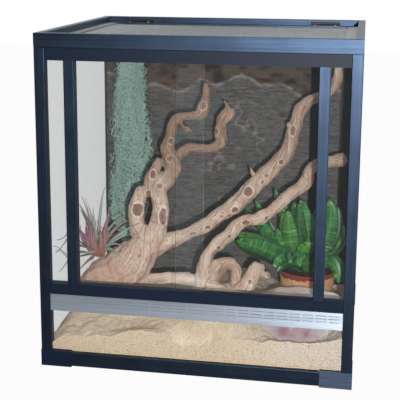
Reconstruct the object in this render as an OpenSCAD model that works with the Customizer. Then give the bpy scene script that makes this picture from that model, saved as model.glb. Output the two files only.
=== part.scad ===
// Glass terrarium in black aluminium profile, with two sliding panes, a front
// ventilation strip, a hinged gauze lid and desert furnishings.
// Origin: middle of the footprint, on the surface it stands on. +X is right,
// +Y is the back, +Z is up.

/* [Case] */
// Width over the corner posts
case_w = 600; // [596:1:606]
// Depth over the corner posts
case_d = 500; // [496:1:510]
// Height from the feet to the top of the frame
case_h = 650; // [645:1:660]
// Side of the square corner post
post_side = 20; // [20:0.5:22]
// Height of the bottom rail
base_rail_h = 28; // [27:0.5:29]
// Height of the top rail
top_rail_h = 27; // [26:0.5:28]

/* [Glass] */
// Thickness of every pane
glass_t = 4; // [3:0.5:4.5]
// Width of the groove that holds a pane
slot_w = 5; // [4.8:0.1:5.4]
// From the outer face of a profile to the middle of its pane
glass_inset = 6.5; // [6.4:0.1:6.8]

/* [Front] */
// Height of the lower edge of the vent strip
vent_low = 114; // [110:1:118]
// Height of the lower edge of the lower track
track_low = 148; // [144:1:150]
// Height of the lower track
low_track_h = 21; // [20:0.5:22]
// Height of the upper track
high_track_h = 23; // [22:0.5:24]
// From the middle of the case to the inner face of a door stile
stile_in = 224; // [220:1:228]
// Width of a door stile
stile_w = 20; // [18:1:21]
// Where the left door ends, right of the middle
left_door_end = 18; // [10:1:26]
// Where the right door ends, right of the middle
right_door_end = -36; // [-44:1:-28]

/* [Lid] */
// Height of the lid frame
lid_t = 9.5; // [9:0.25:10]
// Width of a lid rail
lid_rail_w = 22; // [20:1:26]
// From the top of the frame down to the top of the lid
lid_drop = 12.5; // [12:0.5:13.5]
// Length of a lid hinge
hinge_len = 65; // [55:1:75]
// From the middle of the case to the middle of a hinge
hinge_x = 212; // [200:1:225]

/* [Furnishings] */
// Height of the sand behind the front glass
sand_h = 66; // [60:1:70]
// Right edge of the wide bark tile
bark_end = 184; // [176:1:190]
// Thickness of the bark tiles
bark_t = 14; // [10:1:16]

/* [Hidden] */

$fn = 32;
half_w = case_w / 2;
half_d = case_d / 2;
eps = 0.1;

// Corner profile
corner_r = 1.2;
slot_depth = 6;
bore_in = 2;
bore_side = 9;
plug_gap = 0.1;
plug_len = 18;
seat_gap = 1;
slot_from = glass_inset - slot_w / 2;
pane_from = glass_inset - glass_t / 2;
pane_end = post_side - slot_depth + seat_gap;

// Heights
foot_drop = 2;
base_low = foot_drop;
base_top = base_low + base_rail_h;
base_bore_z = 11;
floor_z = 8;
floor_t = 4;
block_arm = 60;
block_top = 32;
block_proud = 1;
rib_depth = 0.5;
rib_from = 7;
rib_pitch = 5;
rib_h = 1.4;
top_low = case_h - top_rail_h;
post_h = top_low - block_top;
glass_low = base_top - slot_depth + seat_gap;
glass_top = top_low + slot_depth - seat_gap;

// Top rail
top_wall = 15;
ledge_w = 21;
ledge_t = 4.5;
top_bore_in = 3;
top_bore_h = 13;
top_bore_z = top_low + 10;
line_up = 2;
line_h = 1;
key_arm = 45;
key_leg = 20;
key_hole_gap = 0.2;
key_hole_side = bore_side - top_bore_in + bore_in;

// Tracks
track_x = half_w - post_side;
track_d = 20;
groove_a = glass_inset;
groove_b = 13.5;
low_groove = 8;
high_groove = 16;
track_line_up = 4;
track_step = 2;
high_track_low = top_low - high_track_h;
low_track_top = track_low + low_track_h;
door_low = low_track_top - low_groove + 0.3;
door_top = high_track_low + 9;
stile_groove = 8;
door_bite = 6.5;

// Vent strip
vent_top = track_low - 0.2;
lip_h = 7;
lip_from = 2;
lip_to = 11;
web_t = 1.5;
web_from = 3;
lower_pane_top = vent_low + 4.5;
slot_l = 20;
slot_h = 1;
slot_pitch = 24;
row_pitch = 6;
vent_rows = 3;
vent_cols = 23;

// Lid
lid_top = case_h - lid_drop;
lid_low = lid_top - lid_t;
lid_gap = 0.6;
lid_x = half_w - top_wall - lid_gap;
lid_front = -half_d + top_wall + lid_gap;
lid_rear = half_d - top_wall - 4.6;
gauze_t = 1;
gauze_z = lid_low + 5.5;
gauze_slot = 6;
mesh_x = 128;
mesh_y = 12;
mesh_bar = 4;

// Lid hinges
leaf_t = 1.5;
pin_r = 1.5;
pin_gap = 0.05;
pin_out = 0.5;
knuckle_r = 3.5;
pivot_y = half_d - top_wall - 4;
pivot_z = lid_top + 4.3;
knuckle_end = 18;
knuckle_gap = 0.4;
leaf_reach = 24;
leaf_drop = 12;
screw_head_r = 3;
screw_head_h = 1.2;
screw_r = 1.4;
screw_len = 6;
screw_side = 22;
screw_up = 3.5;
screw_in = 8;
cross_l = 4;
cross_w = 0.6;
cross_h = 0.5;

// Colours as they look
black_al = "#1c2433";
grey_al = "#aeb8c4";
clear = [0.8, 0.88, 0.86, 0.3];
black_abs = "#2b3038";
wood = "#c9a27e";
sand = "#d8c0a0";

// ---------- Shared shapes ----------

// A square-cornered box with rounded corners, drawn from its low corner
module round_rect(w, h, r = corner_r) {
  translate([r, 0]) square([w - 2 * r, h]);
  translate([0, r]) square([w, h - 2 * r]);
  for (x = [r, w - r], y = [r, h - r]) translate([x, y]) circle(r);
}

// Runs a section drawn in (distance in from the front face, height) along X
module run_x(from, to) {
  translate([from, -half_d, 0]) rotate([90, 0, 90]) linear_extrude(to - from) children();
}

// Runs a section drawn in (distance in from the left face, height) along Y
module run_y(from, to) {
  translate([-half_w, to, 0]) rotate([90, 0, 0]) linear_extrude(to - from) children();
}

// A copy turned to the back, or to the right
module to_back() { mirror([0, 1, 0]) children(); }
module to_right() { mirror([1, 0, 0]) children(); }

// ---------- Bottom frame ----------

// The bottom rail has a glazing groove on top, a floor groove inside and a bore
module base_section() {
  difference() {
    translate([0, base_low]) round_rect(post_side, base_rail_h);
    translate([slot_from, base_top - slot_depth]) square([slot_w, slot_depth + eps]);
    translate([post_side - slot_depth, floor_z - 0.5]) square([slot_depth + eps, floor_t + 1]);
    translate([bore_in, base_bore_z]) square(bore_side);
  }
}

module base_rail_x() {
  color(black_al) run_x(-half_w + block_arm, half_w - block_arm) base_section();
}

module base_rail_y() {
  color(black_al) run_y(-half_d + block_arm, half_d - block_arm) base_section();
}

module bottom_front_rail() { base_rail_x(); }
module bottom_rear_rail() { to_back() base_rail_x(); }
module bottom_left_rail() { base_rail_y(); }
module bottom_right_rail() { to_right() base_rail_y(); }

// An L in plan, with both arms as wide as the rails
module block_plan(proud) {
  translate([-proud, -proud]) round_rect(block_arm + proud, post_side + proud);
  translate([-proud, -proud]) round_rect(post_side + proud, block_arm + proud);
}

// Fine level ribs run round the outer faces of the block
module block_ribs() {
  for (i = [0 : 3])
    translate([0, 0, rib_from + i * rib_pitch])
      linear_extrude(rib_h)
        difference() {
          translate([-block_proud - eps, -block_proud - eps]) square(block_arm + 3 * block_proud);
          translate([rib_depth - block_proud, rib_depth - block_proud])
            square(block_arm + 4 * block_proud);
        }
}

// The corner block is drawn with its outer corner at the origin
module corner_block_shape() {
  plug = bore_side - 2 * plug_gap;
  start = bore_in + plug_gap;
  difference() {
    linear_extrude(block_top) block_plan(block_proud);
    block_ribs();
    translate([post_side - slot_depth, slot_from, base_top - slot_depth])
      cube([block_arm, slot_w, slot_depth + block_top]);
    translate([slot_from, post_side - slot_depth, base_top - slot_depth])
      cube([slot_w, block_arm, slot_depth + block_top]);
    translate([post_side - slot_depth, post_side - slot_depth, floor_z - 0.5])
      cube([block_arm, block_arm, floor_t + 1]);
  }
  translate([block_arm - 1, start, base_bore_z + plug_gap]) cube([plug_len + 1, plug, plug]);
  translate([start, block_arm - 1, base_bore_z + plug_gap]) cube([plug, plug_len + 1, plug]);
  translate([start, start, block_top - 1]) cube([plug, plug, plug_len + 1]);
}

module corner_block() {
  color(black_abs) translate([-half_w, -half_d, 0]) corner_block_shape();
}

module corner_block_front_left() { corner_block(); }
module corner_block_front_right() { to_right() corner_block(); }
module corner_block_rear_left() { to_back() corner_block(); }
module corner_block_rear_right() { to_back() to_right() corner_block(); }

// ---------- Posts ----------

// The post has two glazing grooves at right angles and a bore for the plugs
module post_section() {
  difference() {
    round_rect(post_side, post_side);
    translate([post_side - slot_depth, slot_from]) square([slot_depth + eps, slot_w]);
    translate([slot_from, post_side - slot_depth]) square([slot_w, slot_depth + eps]);
    translate([bore_in, bore_in]) square(bore_side);
  }
}

module post() {
  color(black_al) translate([-half_w, -half_d, block_top]) linear_extrude(post_h) post_section();
}

module post_front_left() { post(); }
module post_front_right() { to_right() post(); }
module post_rear_left() { to_back() post(); }
module post_rear_right() { to_back() to_right() post(); }

// ---------- Top frame ----------

// The top rail has a ledge for the lid, a glazing groove below and a key chamber
module top_section() {
  difference() {
    union() {
      translate([0, top_low]) round_rect(top_wall, top_rail_h);
      translate([top_wall - 2 * corner_r, top_low]) square([ledge_w - top_wall + 2 * corner_r, ledge_t]);
    }
    translate([slot_from, top_low - eps]) square([slot_w, slot_depth + eps]);
    translate([top_bore_in, top_bore_z]) square([bore_side, top_bore_h]);
    translate([-eps, top_low + line_up]) square([rib_depth + eps, line_h]);
  }
}

// Everything on one side of the mitre plane of the front left corner
module mitre_side(inner) {
  translate([-half_w, -half_d, top_low - 1])
    rotate(45)
      translate([-case_w, inner ? 0 : -case_w, 0])
        cube([3 * case_w, case_w, 2 * top_rail_h]);
}

// Cuts the front left end of a rail back along the mitre, and drills it for the key's leg
module mitred(inner) {
  difference() {
    children();
    mitre_side(inner);
    key_hole();
  }
}

// The leg of the corner key passes down through the mitred rails
module key_hole() {
  translate([-half_w + top_bore_in, -half_d + top_bore_in, top_low - 1])
    cube([key_hole_side, key_hole_side, top_bore_z - top_low + 2]);
}

module top_rail_x() {
  color(black_al) to_right() mitred(true) to_right() mitred(true) run_x(-half_w, half_w) top_section();
}

module top_rail_y() {
  color(black_al) to_back() mitred(false) to_back() mitred(false) run_y(-half_d, half_d) top_section();
}

module top_front_rail() { top_rail_x(); }
module top_rear_rail() {
  color(black_al) difference() {
    to_back() top_rail_x();
    fixed_screw_places() cylinder(r = screw_r + 0.1, h = 2 * screw_len, center = true);
  }
}
module top_left_rail() { top_rail_y(); }
module top_right_rail() { to_right() top_rail_y(); }

// A three-way key joins two mitred rails and drops its leg into the post
module top_key() {
  in = top_bore_in + plug_gap;
  side = bore_side - 2 * plug_gap;
  leg = key_hole_side - 2 * key_hole_gap;
  translate([-half_w + in, -half_d + in, top_bore_z + plug_gap]) {
    cube([key_arm, side, top_bore_h - 2 * plug_gap]);
    cube([side, key_arm, top_bore_h - 2 * plug_gap]);
  }
  leg_at = top_bore_in + key_hole_gap;
  translate([-half_w + leg_at, -half_d + leg_at, top_low - key_leg])
    cube([leg, leg, key_leg + top_bore_z - top_low + 1]);
}

module top_corner_keys() {
  color(black_abs) {
    top_key();
    to_right() top_key();
    to_back() top_key();
    to_back() to_right() top_key();
  }
}

// ---------- Panes ----------

module floor_panel() {
  x = 2 * (half_w - pane_end);
  y = 2 * (half_d - pane_end);
  color("#3a3f46") translate([-x / 2, -y / 2, floor_z]) cube([x, y, floor_t]);
}

module side_pane() {
  y = 2 * (half_d - pane_end);
  color(clear) translate([-half_w + pane_from, -y / 2, glass_low])
    cube([glass_t, y, glass_top - glass_low]);
}

module left_glass() { side_pane(); }
module right_glass() { to_right() side_pane(); }

module rear_panel() {
  x = 2 * (half_w - pane_end);
  color("#15171a") translate([-x / 2, half_d - pane_from - glass_t, glass_low])
    cube([x, glass_t, glass_top - glass_low]);
}

module lower_front_glass() {
  x = 2 * (half_w - pane_end);
  color(clear) translate([-x / 2, -half_d + pane_from, glass_low])
    cube([x, glass_t, lower_pane_top - glass_low]);
}

// ---------- Front: vent strip, tracks, stiles and panes ----------

// Corners of one slot of a slotted sheet
function slot_points(x, z, w, h) = [[x, z], [x + w, z], [x + w, z + h], [x, z + h]];

// A sheet with rows of slots, as one outline with holes
module slotted_sheet(w, h, cols, rows, pitch_x, pitch_y, hole_w, hole_h) {
  x0 = (w - (cols - 1) * pitch_x - hole_w) / 2;
  y0 = (h - (rows - 1) * pitch_y - hole_h) / 2;
  holes = [for (j = [0 : rows - 1], i = [0 : cols - 1])
    slot_points(x0 + i * pitch_x, y0 + j * pitch_y, hole_w, hole_h)];
  rings = concat([slot_points(0, 0, w, h)], holes);
  polygon([for (ring = rings) each ring], [for (k = [0 : len(rings) - 1]) [for (c = [0 : 3]) 4 * k + c]]);
}

// The strip hangs from the track and clips over the lower pane with its lip
module vent_strip() {
  web_low = vent_low + lip_h - 1;
  web_h = vent_top - web_low;
  color(grey_al) {
    run_x(-track_x, track_x) {
      difference() {
        translate([lip_from, vent_low]) square([lip_to - lip_from, lip_h]);
        translate([slot_from, vent_low - eps]) square([slot_w, lip_h - 2 + eps]);
      }
      translate([web_from, vent_top - web_t]) square([lip_to, web_t]);
    }
    translate([-track_x, -half_d + web_from + web_t, web_low])
      rotate([90, 0, 0])
        linear_extrude(web_t)
          slotted_sheet(2 * track_x, web_h, vent_cols, vent_rows, slot_pitch, row_pitch, slot_l, slot_h);
  }
}

module groove(at, z, h) {
  translate([at - slot_w / 2, z]) square([slot_w, h]);
}

module lower_track() {
  color(black_abs) run_x(-track_x, track_x) difference() {
    translate([0, track_low]) square([track_d, low_track_h]);
    groove(groove_a, low_track_top - low_groove, low_groove + eps);
    groove(groove_b, low_track_top - low_groove, low_groove + eps);
    translate([-eps, track_low + track_line_up]) square([rib_depth + eps, line_h]);
    translate([-eps, low_track_top - track_step]) square([track_step / 2 + eps, track_step + eps]);
  }
}

module upper_track() {
  color(black_abs) run_x(-track_x, track_x) difference() {
    translate([0, high_track_low]) square([track_d, high_track_h]);
    groove(groove_a, high_track_low - eps, high_groove + eps);
    groove(groove_b, high_track_low - eps, high_groove + eps);
    for (i = [0 : 3])
      translate([-eps, high_track_low + track_line_up + i * rib_pitch]) square([rib_depth + eps, line_h]);
  }
}

// Section of the left stile in plan, from its outer edge and the front face
module stile_section() {
  difference() {
    round_rect(stile_w, track_d);
    translate([-eps, slot_from]) square([slot_depth + eps, slot_w]);
    for (at = [groove_a, groove_b])
      translate([stile_w - stile_groove, at - slot_w / 2]) square([stile_groove + eps, slot_w]);
  }
}

module stile() {
  color(black_al) translate([-stile_in - stile_w, -half_d, low_track_top])
    linear_extrude(high_track_low - low_track_top) stile_section();
}

module left_stile() { stile(); }
module right_stile() { to_right() stile(); }

module side_light() {
  x1 = -half_w + pane_end;
  x2 = -stile_in - stile_w + slot_depth - seat_gap;
  color(clear) translate([x1, -half_d + pane_from, door_low])
    cube([x2 - x1, glass_t, door_top - door_low]);
}

module left_side_light() { side_light(); }
module right_side_light() { to_right() side_light(); }

// A sliding pane between two x values, in one of the two grooves
module door_pane(x1, x2, at) {
  color(clear) translate([x1, -half_d + at - glass_t / 2, door_low])
    cube([x2 - x1, glass_t, door_top - door_low]);
}

module left_door_glass() { door_pane(-stile_in - door_bite, left_door_end, groove_a); }
module right_door_glass() { door_pane(right_door_end, stile_in + door_bite, groove_b); }

// ---------- Lid ----------

// A lid rail along X between two x values, with its gauze groove facing back
module lid_bar(from, to, front) {
  difference() {
    translate([from, front, lid_low]) cube([to - from, lid_rail_w, lid_t]);
    translate([from - 1, front + lid_rail_w - gauze_slot, gauze_z - 0.2])
      cube([to - from + 2, gauze_slot + eps, gauze_t + 0.4]);
  }
}

module lid_side_bar() {
  y1 = lid_front + lid_rail_w;
  y2 = lid_rear - lid_rail_w;
  difference() {
    translate([-lid_x, y1, lid_low]) cube([lid_rail_w, y2 - y1, lid_t]);
    translate([-lid_x + lid_rail_w - gauze_slot, y1 - 1, gauze_z - 0.2])
      cube([gauze_slot + eps, y2 - y1 + 2, gauze_t + 0.4]);
  }
}

module lid_front_rail() { color(grey_al) lid_bar(-lid_x, lid_x, lid_front); }
module lid_rear_rail() {
  color(black_al) difference() {
    translate([0, lid_front + lid_rear, 0]) to_back() lid_bar(-lid_x, lid_x, lid_front);
    lid_screw_places() cylinder(r = screw_r + 0.1, h = 2 * screw_len, center = true);
  }
}
module lid_left_rail() { color(grey_al) lid_side_bar(); }
module lid_right_rail() { color(grey_al) to_right() lid_side_bar(); }

module lid_gauze() {
  edge = lid_rail_w - gauze_slot + seat_gap;
  w = 2 * (lid_x - edge);
  d = lid_rear - lid_front - 2 * edge;
  cols = floor((w - 2 * gauze_slot) / mesh_x);
  rows = floor((d - 2 * gauze_slot) / mesh_y);
  color("#b0b4b4") translate([-w / 2, lid_front + edge, gauze_z])
    linear_extrude(gauze_t)
      slotted_sheet(w, d, cols, rows, mesh_x, mesh_y, mesh_x - mesh_bar, mesh_y - mesh_bar);
}

// ---------- Lid hinges, drawn about the pivot with the hinge's middle at x = 0 ----------

module knuckle(from, to) {
  translate([from, pivot_y, pivot_z]) rotate([0, 90, 0]) cylinder(r = knuckle_r, h = to - from);
}

module pin_bore() {
  translate([-hinge_len, pivot_y, pivot_z])
    rotate([0, 90, 0])
      cylinder(r = pin_r + pin_gap, h = 2 * hinge_len);
}

// The fixed leaf is screwed to the inner face of the rear rail
module fixed_leaf() {
  y = half_d - top_wall - leaf_t;
  low = pivot_z - leaf_drop;
  mid = hinge_len / 2 - knuckle_end;
  color("#2a3038") difference() {
    union() {
      translate([-hinge_len / 2, y, low]) cube([hinge_len, leaf_t, leaf_drop]);
      knuckle(-hinge_len / 2, -mid);
      knuckle(mid, hinge_len / 2);
    }
    translate([-mid - knuckle_gap, y - 1, pivot_z - knuckle_r - 1])
      cube([2 * (mid + knuckle_gap), leaf_t + 2, leaf_drop]);
    pin_bore();
    for (x = [-screw_side, screw_side])
      translate([x, y - 1, low + screw_up]) rotate([-90, 0, 0]) cylinder(r = screw_r + 0.2, h = leaf_t + 2);
  }
}

// The lid leaf lies on the rear lid rail and turns on the middle knuckle
module lid_leaf() {
  mid = hinge_len / 2 - knuckle_end - knuckle_gap;
  color("#2a3038") difference() {
    union() {
      translate([-hinge_len / 2, pivot_y - leaf_reach, lid_top])
        cube([hinge_len, leaf_reach - knuckle_r - 0.5, leaf_t]);
      translate([-mid, pivot_y - leaf_reach, lid_top]) cube([2 * mid, leaf_reach, leaf_t]);
      knuckle(-mid, mid);
    }
    pin_bore();
    for (x = [-screw_side, screw_side])
      translate([x, pivot_y - leaf_reach + screw_in, lid_top - 1])
        cylinder(r = screw_r + 0.2, h = leaf_t + 2);
  }
}

module left_hinge_fixed_leaf() { translate([-hinge_x, 0, 0]) fixed_leaf(); }
module right_hinge_fixed_leaf() { translate([hinge_x, 0, 0]) fixed_leaf(); }
module left_hinge_lid_leaf() { translate([-hinge_x, 0, 0]) lid_leaf(); }
module right_hinge_lid_leaf() { translate([hinge_x, 0, 0]) lid_leaf(); }

module hinge_pins() {
  color("#9aa0a6") for (x = [-hinge_x, hinge_x])
    translate([x - hinge_len / 2 - pin_out, pivot_y, pivot_z])
      rotate([0, 90, 0])
        cylinder(r = pin_r, h = hinge_len + 2 * pin_out);
}

// Where the screws stand, with z out of the leaf and z = 0 on its face
module fixed_screw_places() {
  for (x = [-hinge_x, hinge_x], s = [-screw_side, screw_side])
    translate([x + s, half_d - top_wall - leaf_t, pivot_z - leaf_drop + screw_up])
      rotate([90, 0, 0])
        children();
}

module lid_screw_places() {
  for (x = [-hinge_x, hinge_x], s = [-screw_side, screw_side])
    translate([x + s, pivot_y - leaf_reach + screw_in, lid_top + leaf_t]) children();
}

// A button-head screw with a cross slot in its head
module screw() {
  difference() {
    cylinder(r = screw_head_r, h = screw_head_h);
    for (turn = [0, 90])
      rotate(turn)
        translate([-cross_l / 2, -cross_w / 2, screw_head_h - cross_h]) cube([cross_l, cross_w, 1]);
  }
  translate([0, 0, -screw_len + 0.5]) cylinder(r = screw_r, h = screw_len);
}

module fixed_leaf_screws() { color("#9aa0a6") fixed_screw_places() screw(); }
module lid_leaf_screws() { color("#9aa0a6") lid_screw_places() screw(); }

// ---------- Grown shapes ----------

function spot(s) = [s[0], s[1], s[2]];
function unit(v) = v / norm(v);

// Catmull-Rom curve through stations [x, y, z, half width]
function curve_at(p, i, t) =
  let (a = p[max(i - 1, 0)], b = p[i], c = p[i + 1], d = p[min(i + 2, len(p) - 1)])
  0.5 * (2 * b + (c - a) * t + (2 * a - 5 * b + 4 * c - d) * t * t + (3 * b - a - 3 * c + d) * t * t * t);
function smooth(p, steps) = concat(
  [for (i = [0 : len(p) - 2], k = [0 : steps - 1]) curve_at(p, i, k / steps)], [p[len(p) - 1]]);
function heading(p, i) = unit(spot(p[min(i + 1, len(p) - 1)]) - spot(p[max(i - 1, 0)]));

// One ring of the skin: the half width in the plane of X and Z, flat times that along Y
function ring(p, i, sides, flat, knobs) =
  let (t = heading(p, i), u = unit(cross([0, 1, 0], t)), v = cross(t, u))
  [for (k = [0 : sides - 1])
    let (a = 360 * k / sides, r = p[i][3] * (1 + knobs * sin(97 * i + 2 * a)))
    spot(p[i]) + r * cos(a) * u + r * flat * sin(a) * v];

// A closed skin over the rings, with flat ends
module skin(p, sides, flat = 1, knobs = 0) {
  n = len(p);
  last = (n - 1) * sides;
  points = [for (i = [0 : n - 1]) each ring(p, i, sides, flat, knobs)];
  walls = [for (i = [0 : n - 2], k = [0 : sides - 1])
    let (a = i * sides + k, b = i * sides + (k + 1) % sides)
    each [[a, a + sides, b + sides], [a, b + sides, b]]];
  ends = [for (k = [1 : sides - 2]) each [[0, k, k + 1], [last, last + k + 1, last + k]]];
  polyhedron(points, concat(walls, ends));
}

// A solid under a surface height(x, y), over nx by ny cells, down to a flat base
module height_solid(height, x0, x1, nx, y0, y1, ny, base) {
  at = function (i, j) j * (nx + 1) + i;
  top = [for (j = [0 : ny], i = [0 : nx])
    let (x = x0 + (x1 - x0) * i / nx, y = y0 + (y1 - y0) * j / ny) [x, y, height(x, y)]];
  rim = concat([for (i = [0 : nx - 1]) at(i, 0)], [for (j = [0 : ny - 1]) at(nx, j)],
    [for (i = [nx : -1 : 1]) at(i, ny)], [for (j = [ny : -1 : 1]) at(0, j)]);
  low = [for (k = rim) [top[k][0], top[k][1], base]];
  n = len(top);
  m = len(rim);
  roof = [for (j = [0 : ny - 1], i = [0 : nx - 1])
    each [[at(i, j), at(i + 1, j + 1), at(i + 1, j)], [at(i, j), at(i, j + 1), at(i + 1, j + 1)]]];
  walls = [for (k = [0 : m - 1])
    let (q = (k + 1) % m) each [[n + k, rim[k], rim[q]], [n + k, rim[q], n + q]]];
  floor_fan = [for (k = [0 : m - 1]) [n + m, n + k, n + (k + 1) % m]];
  polyhedron(concat(top, low, [[(x0 + x1) / 2, (y0 + y1) / 2, base]]), concat(roof, walls, floor_fan));
}

// ---------- Sand ----------

function bump(x, middle, spread) = exp(-pow((x - middle) / spread, 2));

// The sand rises to a crest in front of the wood, dips at the bowl, banks up at the
// right wall and falls away at the left wall and towards the back
function sand_z(x, y) =
  let (crest = 42 * bump(x, 45, 95),
       dip = 18 * bump(x, 165, 45),
       right_bank = 28 * bump(x, half_w, 38),
       left_fall = 26 * bump(x, -half_w, 24),
       dune = 26 * bump(y, -120, 75) * (1 - 0.8 * bump(x, -half_w, 30)),
       back_fall = 0.16 * max(0, y + 60),
       ripple = 2.5 * sin(3.1 * x + 40 * sin(2 * y)))
  max(sand_h + crest - dip + right_bank - left_fall + dune - back_fall + ripple, sand_low + sand_least);

sand_low = 32.4;
sand_least = 6;
sand_cols = 26;
sand_rows = 18;
sand_x = half_w - pane_from - glass_t - 0.5;
sand_front = -half_d + pane_from + glass_t + 0.5;
bark_back = half_d - post_side - 0.5;
sand_rear = bark_back - bark_t - 0.4;
bowl_at = [198, 22];
bowl_r = 62;
bowl_foot = 46;
bowl_low = 36;
bowl_h = 104;
bowl_wall = 4;
bowl_rim = 3;
bowl_slope = (bowl_r - 2 - bowl_foot) / (bowl_h - bowl_rim);
soil_h = bowl_h - 8;
bowl_sides = 64;
bed_gap = 0.1;

// The solid under the sand's surface, lifted a little or not, down to a flat base
module sand_under(lift, base) {
  height_solid(function (x, y) sand_z(x, y) + lift,
    -sand_x, sand_x, sand_cols, sand_front, sand_rear, sand_rows, base);
}

module sand_bed() {
  inner = post_side + 0.5;
  color(sand) difference() {
    union() {
      sand_under(0, sand_low);
      translate([-half_w + inner, -half_d + inner, floor_z + floor_t + bed_gap])
        cube([2 * (half_w - inner), sand_rear + half_d - inner, sand_low - floor_z - floor_t]);
    }
    for (side = [-1, 1]) translate([side * half_w, -half_d, 0])
      cube([2 * inner, 2 * inner, 3 * case_h], center = true);
    translate([bowl_at[0], bowl_at[1], bowl_low - bed_gap])
      cylinder(r1 = bowl_foot + bed_gap, r2 = bowl_foot + bed_gap + bowl_slope * bowl_h, h = bowl_h,
        $fn = bowl_sides);
  }
}

// The ground that other pieces are bedded on
module ground() { sand_under(bed_gap, 0); }

// ---------- Bark ----------

bark_low = floor_z + floor_t + 0.3;
bark_high = top_low - 3;
bark_rows = 24;
ledge_z = 505;
ledge_step = 4;
ridge = 1.2;
wide_cols = 20;
strip_cols = 2;
strip_from = stile_in + 3;
strip_w = 24;

// Thickness of the tile: a proud brown layer above a wavy edge, over level ridges
function ledge_edge(x) = ledge_z + 16 * sin(1.1 * x + 60) + 8 * sin(3.7 * x);
function bark_depth(x, z) =
  let (step = z < ledge_edge(x) ? ledge_step : 0,
       ridges = ridge * sin(14 * z + 90 * sin(2.2 * x)),
       worn_foot = 2.5 * bump(z, 60, 30))
  bark_t - ridge - 0.3 - step + ridges - worn_foot;

module bark_tile(from, to, cols) {
  color("#5a5a56") translate([0, bark_back, 0]) rotate([90, 0, 0])
    height_solid(function (x, z) bark_depth(x, z), from, to, cols, bark_low, bark_high, bark_rows, 0);
}

// The wide tile is notched round the rear left corner block
module bark_panel() {
  notch = post_side + 0.5;
  difference() {
    bark_tile(-sand_x, bark_end, wide_cols);
    translate([-half_w, half_d - block_arm, 0]) cube([notch, block_arm, block_top + 0.5]);
  }
}

module bark_strip() { bark_tile(strip_from, strip_from + strip_w, strip_cols); }

// ---------- Driftwood, as limbs of [x, y, z, radius] ----------

TRUNK = [[-256, -112, 100, 20], [-222, -104, 132, 34], [-186, -94, 149, 40], [-152, -84, 174, 40],
  [-130, -76, 200, 34], [-112, -68, 232, 25]];
UPRIGHT = [[-118, -72, 210, 24], [-105, -60, 256, 19], [-108, -50, 290, 17], [-108, -42, 318, 19],
  [-86, -34, 347, 19], [-87, -28, 373, 18], [-97, -20, 396, 17], [-93, -10, 420, 15], [-89, 0, 442, 14],
  [-80, 8, 456, 12], [-55, 16, 457, 10], [-32, 24, 463, 13], [-28, 30, 484, 15], [-25, 34, 504, 9],
  [-26, 38, 528, 6]];
LOBE = [[-128, -46, 300, 12], [-126, -44, 332, 13], [-117, -38, 357, 12], [-111, -34, 377, 8]];
FORK = [[-139, -76, 214, 20], [-153, -66, 250, 16], [-153, -58, 280, 16], [-148, -52, 306, 13],
  [-142, -50, 322, 7]];
RIGHT_ARM = [[-92, -34, 352, 12], [-74, -20, 380, 12], [-55, -6, 395, 12], [-30, 8, 393, 12],
  [-7, 20, 392, 13], [9, 28, 402, 14], [6, 32, 425, 14], [8, 36, 445, 13], [20, 42, 463, 15],
  [23, 45, 480, 9]];
LONG_ARM = [[-126, -76, 190, 24], [-94, -66, 200, 22], [-64, -56, 212, 20], [-24, -44, 228, 19],
  [20, -30, 262, 19], [55, -14, 284, 20], [82, 2, 314, 21], [103, 14, 340, 20], [124, 26, 364, 19],
  [144, 38, 384, 17], [158, 50, 410, 17], [164, 60, 432, 16], [169, 68, 454, 15], [181, 78, 477, 14],
  [194, 88, 491, 13], [215, 100, 498, 11], [236, 112, 510, 10], [246, 122, 535, 11], [247, 130, 566, 8]];
LOW_ARM = [[-6, -98, 118, 19], [-7, -92, 160, 17], [-5, -82, 196, 16], [11, -70, 221, 16],
  [33, -56, 236, 16], [54, -42, 254, 16], [80, -28, 263, 15], [112, -12, 267, 15], [135, 0, 285, 15],
  [153, 12, 305, 14], [175, 22, 318, 14], [189, 32, 333, 14], [201, 40, 349, 14], [224, 56, 360, 13],
  [252, 76, 364, 17], [270, 88, 368, 15]];
ROOT = [[-176, -84, 116, 18], [-128, -86, 130, 14], [-77, -90, 138, 12], [-34, -94, 139, 12],
  [0, -96, 133, 14], [38, -100, 121, 13], [70, -104, 114, 10]];
STUB = [[56, -104, 112, 15], [76, -98, 130, 14], [89, -90, 153, 13], [98, -86, 174, 10]];
LUMP = [[2, -90, 126, 14], [20, -80, 160, 18], [41, -72, 172, 14], [58, -74, 160, 11], [58, -84, 128, 12]];
TWIG = [[-76, 6, 452, 5], [-66, 0, 438, 4], [-54, -6, 428, 2]];

// Where each knot stands and how big it is
KNOTS = [[-96, -62, 262, 13], [-110, -56, 300, 9], [-88, -42, 352, 11], [-93, -26, 408, 9],
  [-28, 20, 482, 8], [72, -12, 305, 15], [46, -28, 284, 8], [20, -44, 262, 9], [118, 12, 362, 9],
  [50, -54, 248, 9], [106, -22, 262, 10]];

module knot(k) {
  hull() {
    translate([k[0], k[1], k[2]]) scale(k[3]) sphere(1, $fn = 8);
    translate([k[0], k[1] - k[3] * 0.3, k[2]]) scale(k[3] * 0.75) sphere(1, $fn = 8);
  }
}

limb_steps = 2;
trunk_steps = 3;
limb_sides = 8;
trunk_sides = 12;
twig_sides = 6;
knobs = 0.07;
oval = 0.9;

module limbs() {
  skin(smooth(TRUNK, trunk_steps), trunk_sides, 1, knobs);
  for (limb = [UPRIGHT, LONG_ARM, LOW_ARM]) skin(smooth(limb, limb_steps), limb_sides, 1, knobs);
  for (limb = [LOBE, FORK, RIGHT_ARM, ROOT, STUB, LUMP])
    skin(smooth(limb, limb_steps), limb_sides, oval, knobs);
  skin(TWIG, twig_sides);
}

module driftwood() {
  color(wood) difference() {
    union() {
      limbs();
      for (k = KNOTS) knot(k);
    }
    ground();
  }
}

// ---------- Hanging moss ----------

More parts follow.
